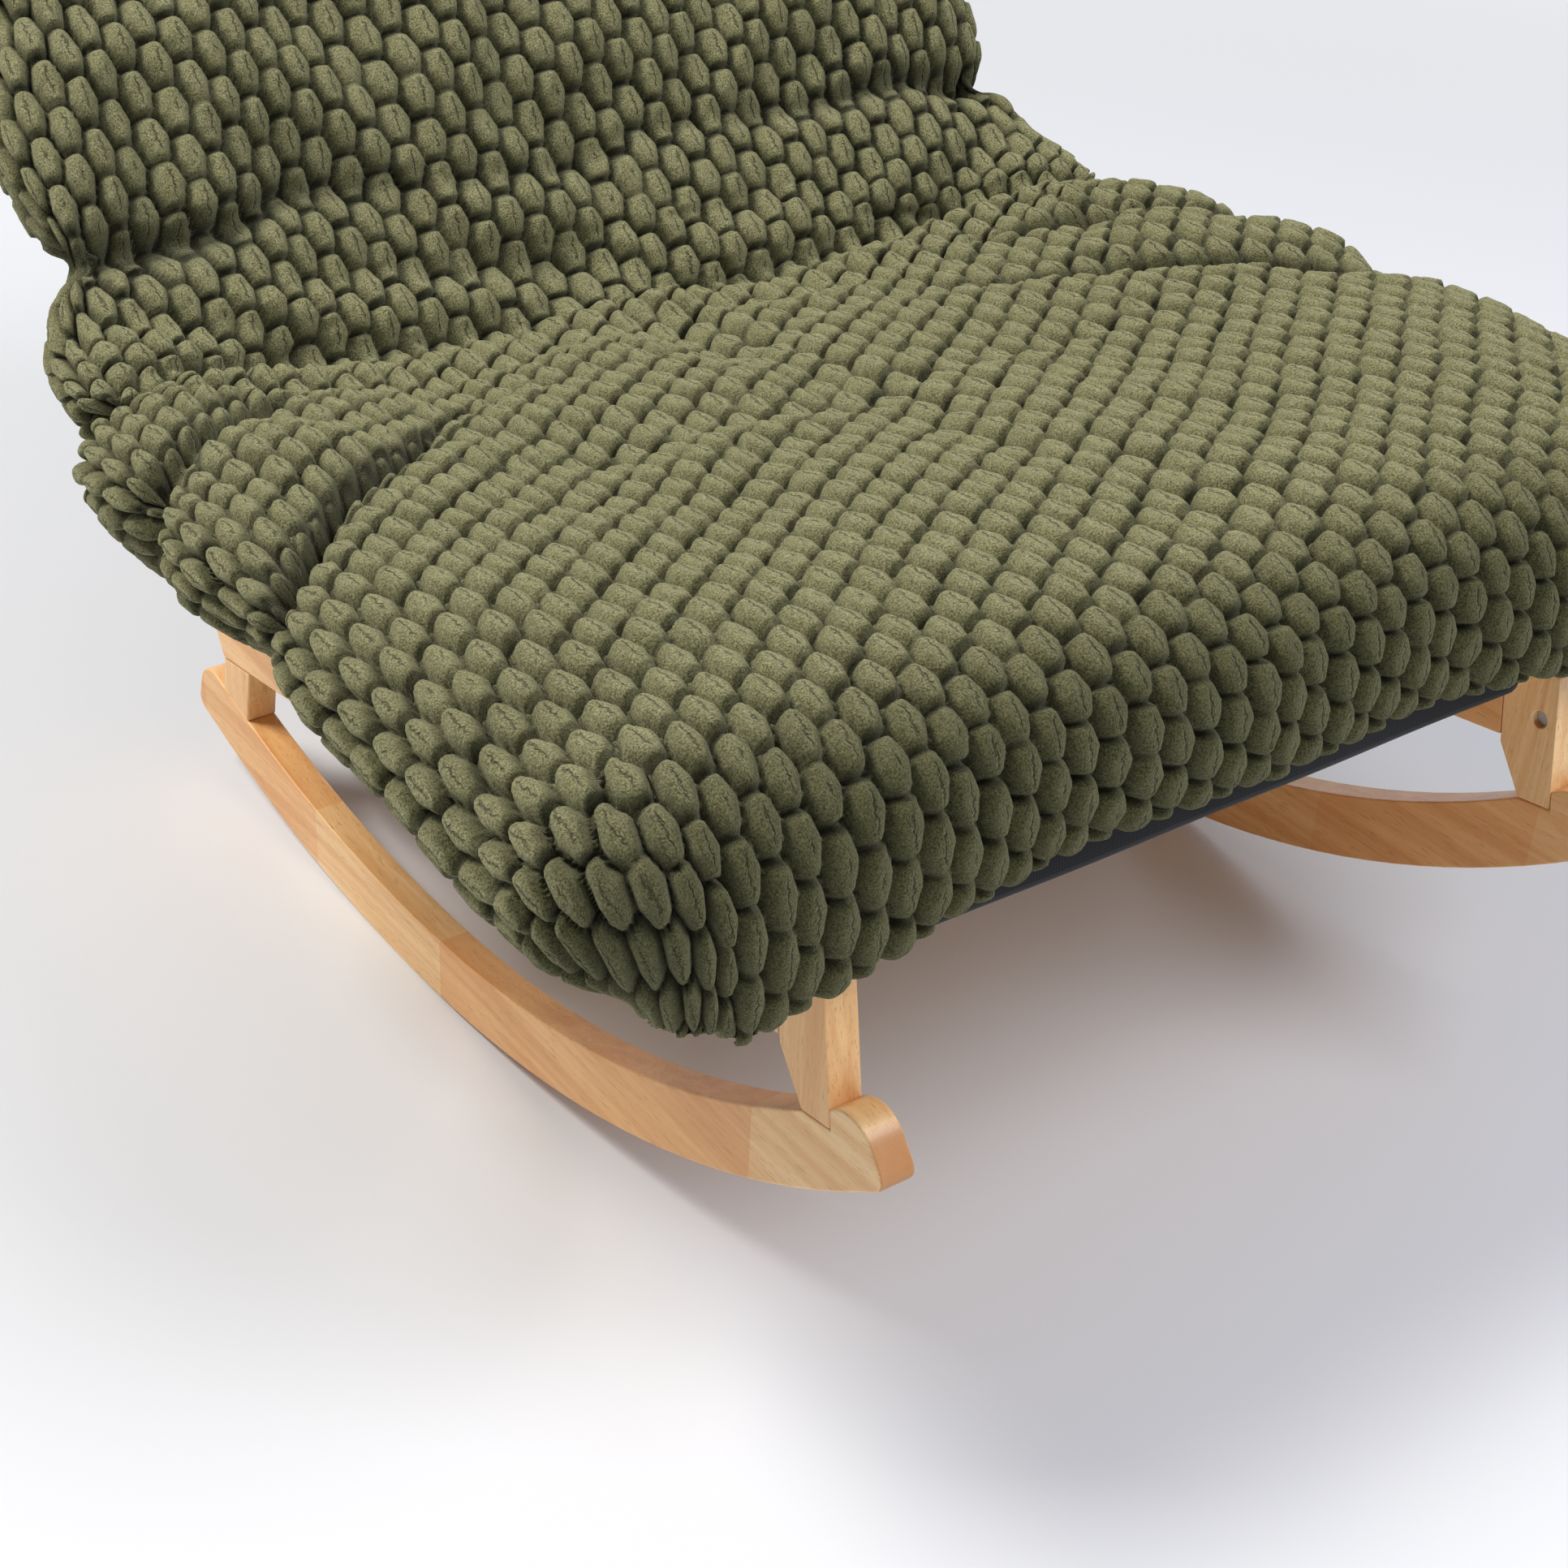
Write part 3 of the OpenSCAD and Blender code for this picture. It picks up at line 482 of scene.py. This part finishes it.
def thickness(s):
    """Height of the bag's middle over its underside."""
    return (seat_thick - bend_thin * ramp(s, *bend_run) - back_thin * ramp(s, back_start, cushion_len)
            - valley_thin * dent(s, valley_s, valley_wide) - nose_thin * (1 - ramp(s, *thicken_run)) ** 2)


def side_lift(s):
    """How far the sides rise over the middle."""
    before, beyond = ramp(s, lift_from, valley_s) ** 0.68, 1 - 0.85 * ramp(s, valley_s, lift_to)
    return wing_lift * np.where(s < valley_s, before, beyond)


def side_droop(s):
    """How far the sides hang below the underside."""
    return nose_droop * (1 - ramp(s, *hang_run)) ** 1.3 + head_droop * ramp(s, *head_run)


def top_height(s, x):
    """Height of the top over the underside, at a distance x from the middle."""
    w, t = half_width(s), thickness(s)
    r = np.minimum(1, np.abs(x) / w)
    return side_lift(s) * r ** 3 + edge_share * t + dome_share * t * np.sqrt(1 - r ** 7)


top_points, wing_points = 60, 40


def side_contours(stations):
    """For each station: where its contour runs from the middle of the top over
    the edge to the frame. Length along it, distance out and height."""
    s = stations[:, None]
    w, t = half_width(s), thickness(s)
    flat = np.minimum(lying_half, w - wing_least)
    top_x = w * np.sin(np.linspace(0, np.pi / 2, top_points))[None, :]
    v = np.cos(np.linspace(0, np.pi / 2, wing_points))[None, 1:]
    wing_x = flat + 1 + (w - flat - 1) * v
    wing_h = (side_lift(s) * v ** 1.5 + edge_share * t
              - (edge_share * t + side_droop(s) - gap) * np.sqrt(1 - v ** 2.5))
    # the last stretch turns in and comes to rest on the frame
    last = 0.3
    wing_h = np.where(v < last, wing_h + side_droop(s) * (1 - v / last) ** 1.5, wing_h)
    x = np.concatenate([top_x, wing_x], 1)
    h = np.concatenate([top_height(s, top_x), wing_h], 1)
    run = np.concatenate([np.zeros((len(stations), 1)),
                          np.cumsum(np.hypot(np.diff(x, axis=1), np.diff(h, axis=1)), 1)], 1)
    return run, x, h


# the cover's points are this far apart
step = 2.5

# stations over the seat and back; the corners begin this far in from the sides
corner_in = 80
body_s = np.linspace(nose_in, head_in, int((head_in - nose_in) / step) + 1)
run, contour_x, contour_h = side_contours(body_s)
inner_x = half_width(body_s) - corner_in
inner_run = np.array([np.interp(inner_x[i], contour_x[i, :top_points], run[i, :top_points])
                      for i in range(len(body_s))])

# columns: over the top up to the inner line, then over the edge and under
top_cols = int(inner_run.max() / step)
side_cols = int((run[:, -1] - inner_run).max() / step)
share = np.concatenate([np.linspace(0, 1, top_cols + 1), 1 + np.linspace(0, 1, side_cols + 1)[1:]])


def at_columns(values):
    """Values of each station's contour at the columns."""
    return np.stack([np.interp(body_p[i], run[i], values[i]) for i in range(len(body_s))])


inner_side = inner_run[:, None]
body_p = np.where(share <= 1, share * inner_side, inner_side + (share - 1) * (run[:, -1:] - inner_side))
body_x, body_h = at_columns(contour_x), at_columns(contour_h)

# length along the middle of the top, for the columns of puffs
mid_y, mid_z, mid_a = underside(body_s)
mid_t = thickness(body_s)
mid = np.stack([mid_y - mid_t * np.sin(mid_a), mid_z + mid_t * np.cos(mid_a)], -1)
mid_run = np.concatenate([[0], np.cumsum(np.hypot(*np.diff(mid, axis=0).T))])
body_q = np.repeat(mid_run[:, None], len(share), 1)
body_stations = np.repeat(body_s[:, None], len(share), 1)


tiny, gathered_in, gather_run = 1e-9, 0.3, (0.15, 0.7)


def tip(row, outline, thick, away, hang):
    """Rows that close an end of the bag: the outline gives (out, down, share of
    the hang) from the inner line; the corners turn from the side's contour to
    the outline."""
    o = np.array(outline, float)
    o[:, 1] *= thick / o[-1, 1]
    pieces = np.hypot(*np.diff(o[:, :2], axis=0).T) + hang[-1] / 2 * np.abs(np.diff(o[:, 2]))
    length = np.concatenate([[0], np.cumsum(pieces)])
    n = int(length[-1] / step)
    e_row = np.linspace(0, 1, n + 1)[1:, None]
    e_col = np.clip(share - 1, 0, 1)[None, :]
    e = np.maximum(e_row, e_col)
    turn = np.where(e_col >= e_row, e_row / np.maximum(e_col, tiny), 2 - e_col / np.maximum(e_row, tiny))
    phi = turn * np.pi / 4
    side_len = inner_run[row] + e * (run[row, -1] - inner_run[row])
    out_side = np.interp(side_len, run[row], contour_x[row]) - inner_x[row]
    h_side = np.interp(side_len, run[row], contour_h[row])
    out_end = np.interp(e * length[-1], length, o[:, 0])
    fall = np.interp(e * length[-1], length, o[:, 1]) / thick
    h_inner = np.interp(inner_x[row], contour_x[row, :top_points], contour_h[row, :top_points])
    h_top = np.where(e_col > 0, h_inner, body_h[row][None, :])
    share_hung = np.interp(e * length[-1], length, o[:, 2])
    h_end = gap + (h_top - gap) * (1 - fall) - np.where(e_col > 0, hang[-1], hang[None, :]) * share_hung
    blend = np.sin(phi) ** 2
    out = out_side * (1 - blend) + out_end * blend
    h = h_side * (1 - blend) + h_end * blend
    x = np.where(e_col > 0, inner_x[row] + out * np.cos(phi), body_x[row][None, :])
    s = np.where(e_col > 0, body_s[row] + away * out * np.sin(phi), body_s[row] + away * out_end)
    # the cover is gathered round the corner, as a flat cloth pulled over it
    reach = e * ((run[row, -1] - inner_run[row]) * (1 - blend) + length[-1] * blend)
    reach = reach * (1 - gathered_in * np.sin(2 * phi) ** 2 * ramp(e, *gather_run))
    p = np.where(e_col > 0, inner_run[row] + reach * np.cos(phi), body_p[row][None, :])
    q = np.where(e_col > 0, reach * np.sin(phi), e * length[-1])
    left = (1 - e) * length[-1]
    return s, x, h, p, body_q[row][None, :] + away * q, left


nose_line = [(0, 0, 0), (18, 2.5, 0), (34, 8, 0), (46, 15, 0.02), (58, 25, 0.06), (68, 38, 0.13),
             (73, 52, 0.25), (75, 66, 0.4), (75, 84, 0.6), (72, 98, 0.8), (68, 111, 0.95), (62, 121, 1),
             (55, 125, 1), (49, 123, 1), (46, 118, 0.6), (44, 115, 0.15), (40, 114, 0), (35, 116, 0),
             (29.5, 118.7, 0)]
head_line = [(0, 0, 0), (14, 1, 0), (30, 5, 0), (44, 12, 0), (56, 22, 0), (64, 34, 0), (66, 44, 0),
             (62, 54, 0), (52, 60, 0), (36, 62, 0), (22, 60, 0)]
# the front edge hangs lower toward both corners, outside the frame
front_hang = np.interp(body_x[0], [0, 150, 221, 256, 292, 330, 370], [12, 14, 21, 29, 37, 45, 51])
nose = tip(0, nose_line, thickness(nose_in) - gap, -1, front_hang)
head = tip(len(body_s) - 1, head_line, thickness(head_in) - gap, 1, 0 * front_hang)


def whole(k, body):
    """The body's values with those of the nose before and of the head after."""
    return np.concatenate([nose[k][::-1], body, head[k]], 0)


half_s, half_x, half_h = whole(0, body_stations), whole(1, body_x), whole(2, body_h)
half_p, half_q = whole(3, body_p), whole(4, body_q)
half_left = whole(5, run[:, -1:] - body_p)


def mirrored(a, sign):
    """Both halves of the bag side by side, sharing the middle column."""
    return np.concatenate([sign * a[:, :0:-1], a], 1)


# p runs across the cover, q along it, and left is what is left to the frame
grid_s, grid_x, grid_h = mirrored(half_s, 1), mirrored(half_x, -1), mirrored(half_h, 1)
grid_p, grid_q = mirrored(half_p, -1), mirrored(half_q, 1)
grid_left = mirrored(half_left, 1)
rows, cols = grid_x.shape


def drift(a, b, size, seed):
    """Smooth random values from -1 to 1 on a plane, features about one size wide."""
    many = 64
    table = np.random.RandomState(seed).uniform(-1, 1, (many, many))
    x, y = a / size, b / size
    i, j = np.floor(x).astype(int), np.floor(y).astype(int)
    fx, fy = x - i, y - j
    fx, fy = fx * fx * (3 - 2 * fx), fy * fy * (3 - 2 * fy)
    near_near, far_near, near_far, far_far = (
        table[(i + m) % many, (j + n) % many] for m, n in ((0, 0), (1, 0), (0, 1), (1, 1)))
    return ((near_near * (1 - fx) + far_near * fx) * (1 - fy)
            + (near_far * (1 - fx) + far_far * fx) * fy)


def neighbours(grid):
    """Mean of the four neighbours of each inner point of a grid."""
    return (grid[:-2, 1:-1] + grid[2:, 1:-1] + grid[1:-1, :-2] + grid[1:-1, 2:]) / 4


# level points of the smooth bag, evened out except where it meets the frame
smooth_rounds, smooth_share, smooth_band = 14, 0.7, 8
y0, z0, a0 = underside(grid_s)
points = np.stack([grid_x, y0 - grid_h * np.sin(a0), z0 + grid_h * np.cos(a0)], -1)
for _ in range(smooth_rounds):
    inner = points[1:-1, 1:-1]
    loose = clamp01(grid_left[1:-1, 1:-1, None] / smooth_band)
    points[1:-1, 1:-1] = inner + (neighbours(points) - inner) * smooth_share * loose


def outward(pts):
    """Unit normals of the grid, pointing out of the bag."""
    du = np.gradient(pts, axis=1)
    dv = np.gradient(pts, axis=0)
    n = np.cross(du, dv)
    return n / np.maximum(np.linalg.norm(n, axis=2, keepdims=True), tiny)


# Creases where the bag folds: the seat crease deepens and runs forward at the
# sides, a faint furrow crosses the seat, two more creases climb beside the
# bend, and two cross the back. The tables say where each one runs, by p
aside = np.abs(grid_p)
wander = 6 * drift(grid_p, grid_q * 0 + 3, 70, 21)
seat_crease = np.interp(aside, [0, 120, 180, 240, 305, 350, 400, 440, 480, 530, 600],
                        [522, 519, 512, 478, 426, 390, 338, 312, 318, 345, 380])
roll_crease = np.interp(aside, [200, 254, 300, 345, 400, 460, 520, 600],
                        [608, 585, 560, 525, 482, 462, 465, 480])
bend_crease = np.interp(aside, [200, 250, 300, 350, 400, 450, 550], [775, 745, 715, 690, 665, 652, 655])
outer = 1 - 0.55 * ramp(aside, 400, 480)


def fold(s, at, wide):
    """Tight fold between two soft rolls."""
    return 0.66 * dent(s, at, wide) + 0.34 * dent(s, at, 4.2 * wide)


seat_fold_wide, back_fold_wide = 8, 10
furrow_s, lumbar_s, head_s = 373, 882, 1097
crease = (3 + 23 * ramp(aside, 150, 280)) * fold(grid_s, seat_crease + wander, seat_fold_wide)
crease += 3.5 * dent(grid_s, furrow_s + wander, 15) * (1 - ramp(aside, 200, 320))
crease += 18 * ramp(aside, 215, 330) * fold(grid_s, roll_crease - wander, seat_fold_wide)
crease += 19 * ramp(aside, 200, 330) * fold(grid_s, bend_crease + wander, seat_fold_wide)
crease += (7 + 14 * ramp(aside, 150, 300)) * outer * fold(grid_s, lumbar_s + 1.5 * wander, back_fold_wide)
crease += (7 + 12 * ramp(aside, 150, 300)) * outer * fold(grid_s, head_s - wander, back_fold_wide)
# nothing is displaced where the cover meets the frame
free_band = 26
free = clamp01(grid_left / free_band)
lumps = 3.0 * drift(grid_p, grid_q, 120, 5) + 1.5 * drift(grid_p, grid_q, 60, 6)
normal = outward(points)

# the simulation's net has every fifth point and is held along the frame
coarse_every, settle_frames, most_off = 5, 20, 12
held_band, soft_hold, cut_larger = 30, 0.12, 0.05


def rumples():
    """How far the cover stands off the smooth bag, in millimetres: a cloth
    simulation of a coarse copy of the cover, cut larger than its filling and
    pressed outward by the beads. It is held softly to the bag and firmly in a
    band along the frame."""
    i = np.unique(np.append(np.arange(0, rows, coarse_every), rows - 1))
    j = np.unique(np.append(np.arange(0, cols, coarse_every), cols - 1))
    start = stand(points[np.ix_(i, j)].reshape(-1, 3))
    mesh = bpy.data.meshes.new("bag_cloth")
    mesh.from_pydata(start.tolist(), [], grid_faces(len(i), len(j))[1].tolist())
    bag = new_object("bag_cloth", mesh)
    held = bag.vertex_groups.new(name="held")
    near = grid_left[np.ix_(i, j)].reshape(-1)
    for vertex, left in enumerate(near.tolist()):
        held.add([vertex], 1.0 if left < held_band else soft_hold, "REPLACE")
    cloth = bag.modifiers.new("cloth", "CLOTH")
    cloth.settings.quality = 5
    cloth.settings.mass = 0.25
    cloth.settings.tension_stiffness = 20
    cloth.settings.compression_stiffness = 20
    cloth.settings.shear_stiffness = 8
    cloth.settings.bending_stiffness = 0.4
    cloth.settings.vertex_group_mass = "held"
    cloth.settings.pin_stiffness = 1.0
    cloth.settings.shrink_min = -cut_larger
    cloth.settings.use_pressure = True
    cloth.settings.uniform_pressure_force = 1.5
    cloth.settings.effector_weights.gravity = 0
    cloth.collision_settings.use_collision = False
    cloth.point_cache.frame_start, cloth.point_cache.frame_end = 1, settle_frames
    for number in range(1, settle_frames + 1):
        bpy.context.scene.frame_set(number)
    done = bag.evaluated_get(bpy.context.evaluated_depsgraph_get()).to_mesh()
    moved = np.empty(len(near) * 3)
    done.vertices.foreach_get("co", moved)
    shift = (moved.reshape(-1, 3) - start) * 1000 @ np.array(standing.to_3x3())
    off = (shift.reshape(len(i), len(j), 3) * normal[np.ix_(i, j)]).sum(-1)
    bpy.context.scene.frame_set(1)
    bpy.data.objects.remove(bag)
    off = np.clip(off - np.median(off), -most_off, most_off)
    off = np.stack([np.interp(np.arange(rows), i, off[:, k]) for k in range(len(j))], 1)
    off = np.stack([np.interp(np.arange(cols), j, off[k]) for k in range(rows)], 0)
    for _ in range(6):
        off[1:-1, 1:-1] = neighbours(off)
    return off


# the seat, sat on, keeps less of its rumples than the back does
seat_rumple, back_more, rumple_run = 0.35, 0.4, (330, 560)
lumps = lumps + rumples() * (seat_rumple + back_more * ramp(grid_s, *rumple_run))
fully_gathered = 16
gathered = clamp01(crease / fully_gathered)

# sizes of a puff, and how deep its foot lies below the smooth bag
puff_long, puff_wide, puff_high, puff_sunk = 30.5, 20.5, 13.5, 9.8
# how far a puff may lie off its place, and how its rounds and grooves run
off_wide, off_long = 1.4, 2.4
side_round, end_round, side_groove, end_groove = 9.5, 5.0, 3.8, 3.4
barrel, side_slope, end_bow, corner_soft = 2.4, 1.5, 0.012, 1.5


def puffs(p, q):
    """Barrels that stand end to end in columns, with every other column half a
    barrel further on: their height from 0 to 1, how deep in a groove a point
    lies, and how far it is from its barrel's crest and middle."""
    best = np.full(p.shape, -9.0)
    height, deep, from_crest, from_middle = (np.zeros(p.shape) for _ in range(4))
    many_rows, many_cols = 97, 89
    table = np.random.RandomState(11).uniform(0, 1, (many_rows, many_cols, 4))
    for extra in (-1, 0, 1):
        col = np.floor(p / puff_wide + 0.5).astype(int) + extra
        shift = (col % 2) * puff_long / 2
        row = np.round((q - shift) / puff_long).astype(int)
        own = table[row % many_rows, col % many_cols]
        x = p - col * puff_wide + (own[..., 0] - 0.5) * off_wide
        dx = np.abs(x)
        dy = np.abs(q - shift - row * puff_long + (own[..., 1] - 0.5) * off_long)
        # distances to the side, where barrels bulge into each other, and the end
        along = dy / (puff_long / 2)
        d_side = side_slope * (puff_wide / 2 + barrel * (1 - 2 * along) - dx)
        d_end = puff_long / 2 - dy - end_bow * dx ** 2
        d = -corner_soft * np.log(np.exp(-d_side / corner_soft) + np.exp(-d_end / corner_soft))
        # the sides round over gently and the ends fall off more steeply
        round_over = (1 - (1 - clamp01(d_side / side_slope / side_round)) ** 2.3) ** 0.68
        end_in = (1 - (1 - clamp01((d_end + 0.2) / end_round)) ** 2.4) ** 0.6
        own_height = round_over * (0.12 + 0.88 * end_in) * (0.9 + 0.2 * own[..., 2])
        end_deep = 1 - clamp01((d_end - 0.4) / end_groove)
        side_deep = 0.82 * (1 - clamp01(d_side / side_slope / side_groove))
        own_deep = np.maximum(end_deep, side_deep)
        nearest = d > best
        height = np.where(nearest, own_height, height)
        deep = np.where(nearest, own_deep, deep)
        from_crest = np.where(nearest, x + 1.2 * (own[..., 3] - 0.5), from_crest)
        from_middle = np.where(nearest, dy + 6 * (own[..., 3] < 0.2), from_middle)
        best = np.maximum(best, d)
    return height, deep, from_crest, from_middle


# the columns of puffs are crowded toward the sides, and the puffs are flatter
# in the creases, near the frame and below
crowded = np.interp(aside, [0, 150, 300, 400, 460, 900], [0, 150, 312, 428, 500, 976])
pattern_p = np.sign(grid_p) * crowded + 2.4 * drift(grid_p, grid_q, 90, 3)
pattern_q = grid_q + 3.5 * drift(grid_p, grid_q, 110, 4)
height, pit_shade, from_crest, from_middle = puffs(pattern_p, pattern_q)
lower = clamp01(1 - grid_left / 120)
squash_puffs = 1 - 0.25 * gathered - 0.28 * lower - 0.4 * clamp01(-2.5 * normal[..., 2] - 1.2)
rise = free * (puff_high * height * squash_puffs - puff_sunk) - free * crease + lumps * free
ruffle = 1.2 * drift(grid_p, grid_q, 7, 8) + 0.9 * drift(grid_p, grid_q, 4, 9)
rise += free * ruffle * (0.18 + 0.8 * gathered + 0.7 * lower * ramp(lower, 0.2, 0.9))
points = points + normal * rise[..., None]

index, faces = grid_faces(rows, cols)
# the bag is closed by a flat bottom that lies on the frame
ladder = np.stack([index[:-1, 0], index[1:, 0], index[1:, -1], index[:-1, -1]], -1)
cover_mesh = bpy.data.meshes.new("plush_cover")
faces = faces.tolist() + ladder.tolist() + [index[0, ::-1].tolist(), index[-1].tolist()]
cover_mesh.from_pydata(stand(points.reshape(-1, 3)).tolist(), [], faces)

# What the pile's colour follows: painted shade in the pits between puffs and in
# the creases, painted shade on the faces turned from the light (the nose, the
# undersides and the puffs' front and right slopes), and the partings
slope_q = np.gradient(rise, axis=0) / step
slope_p = np.gradient(rise, axis=1) / step
# painted shade on the faces turned from the light: forward on the nose, downward, and the puffs' front and
# right slopes
forward, below = clamp01(-1.15 * normal[..., 1] - 0.1), clamp01(-normal[..., 2])
away_shade = clamp01((1 - ramp(grid_s, 90, 300)) * forward + 0.7 * below
              + 0.75 * clamp01(slope_q - 0.1) + 0.35 * clamp01(-slope_p - 0.1))
# painted shade: the creases where the cover is gathered darken the pits further
pit_shade = clamp01(pit_shade + 0.6 * gathered * free)
for name, values in (("pit_shade", pit_shade), ("away_shade", away_shade), ("from_crest", from_crest), ("from_middle", from_middle)):
    layer = cover_mesh.attributes.new(name, "FLOAT", "POINT")
    layer.data.foreach_set("value", values.reshape(-1).astype(np.float32))
cover_mesh.shade_smooth()
cover = new_object("plush_cover", cover_mesh)

# Short polyester plush: a dull deep olive pile 3 mm long, lighter where it bends over on the puffs,
# with painted shade in the pits between them, in the creases and on the sides turned from the light
plush, tree = new_material("olive_polyester_plush")
place = add(tree, "TexCoord")
pit_shade_value, away_shade_value, crest_value, middle_value = (
    add(tree, "Attribute", {"attribute_name": name}) for name in ("pit_shade", "away_shade", "from_crest", "from_middle"))
# tufts of pile about 1 mm across, a little longer from front to back
comb = add(tree, "Mapping", {}, {"Vector": place.outputs["Object"]}, Scale=(1100, 800, 860))
tuft = add(tree, "TexNoise", {}, {"Vector": comb.outputs[0]}, Scale=1.0, Detail=4.0, Roughness=0.65)
patch = add(tree, "TexNoise", {}, {"Vector": place.outputs["Object"]}, Scale=55.0, Detail=3.0)
pile_tone = two_tone(tree, tuft.outputs[0], "#636144", "#bebb8e", 0.36, 0.64)
patch_mix = add(tree, "MixRGB", {"blend_type": "MULTIPLY"}, {1: pile_tone.outputs[0]}, _2=srgb("#e6e6d6"))
tree.links.new(patch.outputs[0], patch_mix.inputs[0])
# painted shade: the pile is multiplied darker on the faces turned from the light
away_shaded = add(tree, "MixRGB", {"blend_type": "MULTIPLY"},
              {0: away_shade_value.outputs["Fac"], 1: patch_mix.outputs[0]}, _2=srgb("#a5a59c"))
# painted shade: the pits between puffs and the creases go toward near black
deep = add(tree, "MapRange", {}, {0: pit_shade_value.outputs["Fac"]}, _1=0.2, _2=0.9, _3=0.0, _4=0.95)
colour = add(tree, "MixRGB", {}, {0: deep.outputs[0], 1: away_shaded.outputs[0]}, _2=srgb("#17170d"))
# the combed pile parts in a wavering line along the crest of each puff
waver = add(tree, "TexNoise", {}, {"Vector": place.outputs["Object"]}, Scale=260.0, Detail=2.0)
waver_mm = add(tree, "MapRange", {}, {0: waver.outputs[0]}, _1=0.3, _2=0.7, _3=-1.3, _4=1.3)
wavered = add(tree, "Math", {"operation": "ADD"}, {0: crest_value.outputs["Fac"], 1: waver_mm.outputs[0]})
off_line = add(tree, "Math", {"operation": "ABSOLUTE"}, {0: wavered.outputs[0]})
line = add(tree, "MapRange", {}, {0: off_line.outputs[0]}, _1=0.25, _2=1.0, _3=1.0, _4=0.0)
line_end = add(tree, "MapRange", {}, {0: middle_value.outputs["Fac"]}, _1=7.0, _2=10.0, _3=1.0, _4=0.0)
parting = add(tree, "Math", {"operation": "MULTIPLY"}, {0: line.outputs[0], 1: line_end.outputs[0]})
part_dark = add(tree, "MapRange", {}, {0: parting.outputs[0]}, _3=0.0, _4=0.6)
colour = add(tree, "MixRGB", {}, {0: part_dark.outputs[0], 1: colour.outputs[0]}, _2=srgb("#23220f"))
relief = add(tree, "Math", {"operation": "SUBTRACT"}, {0: tuft.outputs[0], 1: parting.outputs[0]})
bump = add(tree, "Bump", {}, {"Height": relief.outputs[0]}, Strength=0.9, Distance=0.0026)
bsdf = add(tree, "BsdfPrincipled", {}, {"Base Color": colour.outputs[0], "Normal": bump.outputs[0]},
           Roughness=0.95, Specular_IOR_Level=0.1, Sheen_Weight=0.55, Sheen_Roughness=0.35,
           Sheen_Tint=srgb("#c9c7a4"))
add(tree, "OutputMaterial", links={"Surface": bsdf.outputs[0]})
cover_mesh.materials.append(plush)

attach(cover, "root")
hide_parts("seat_cushion", "lumbar_cushion", "back_cushion", "head_cushion")

bpy.context.scene.view_settings.view_transform = "Standard"
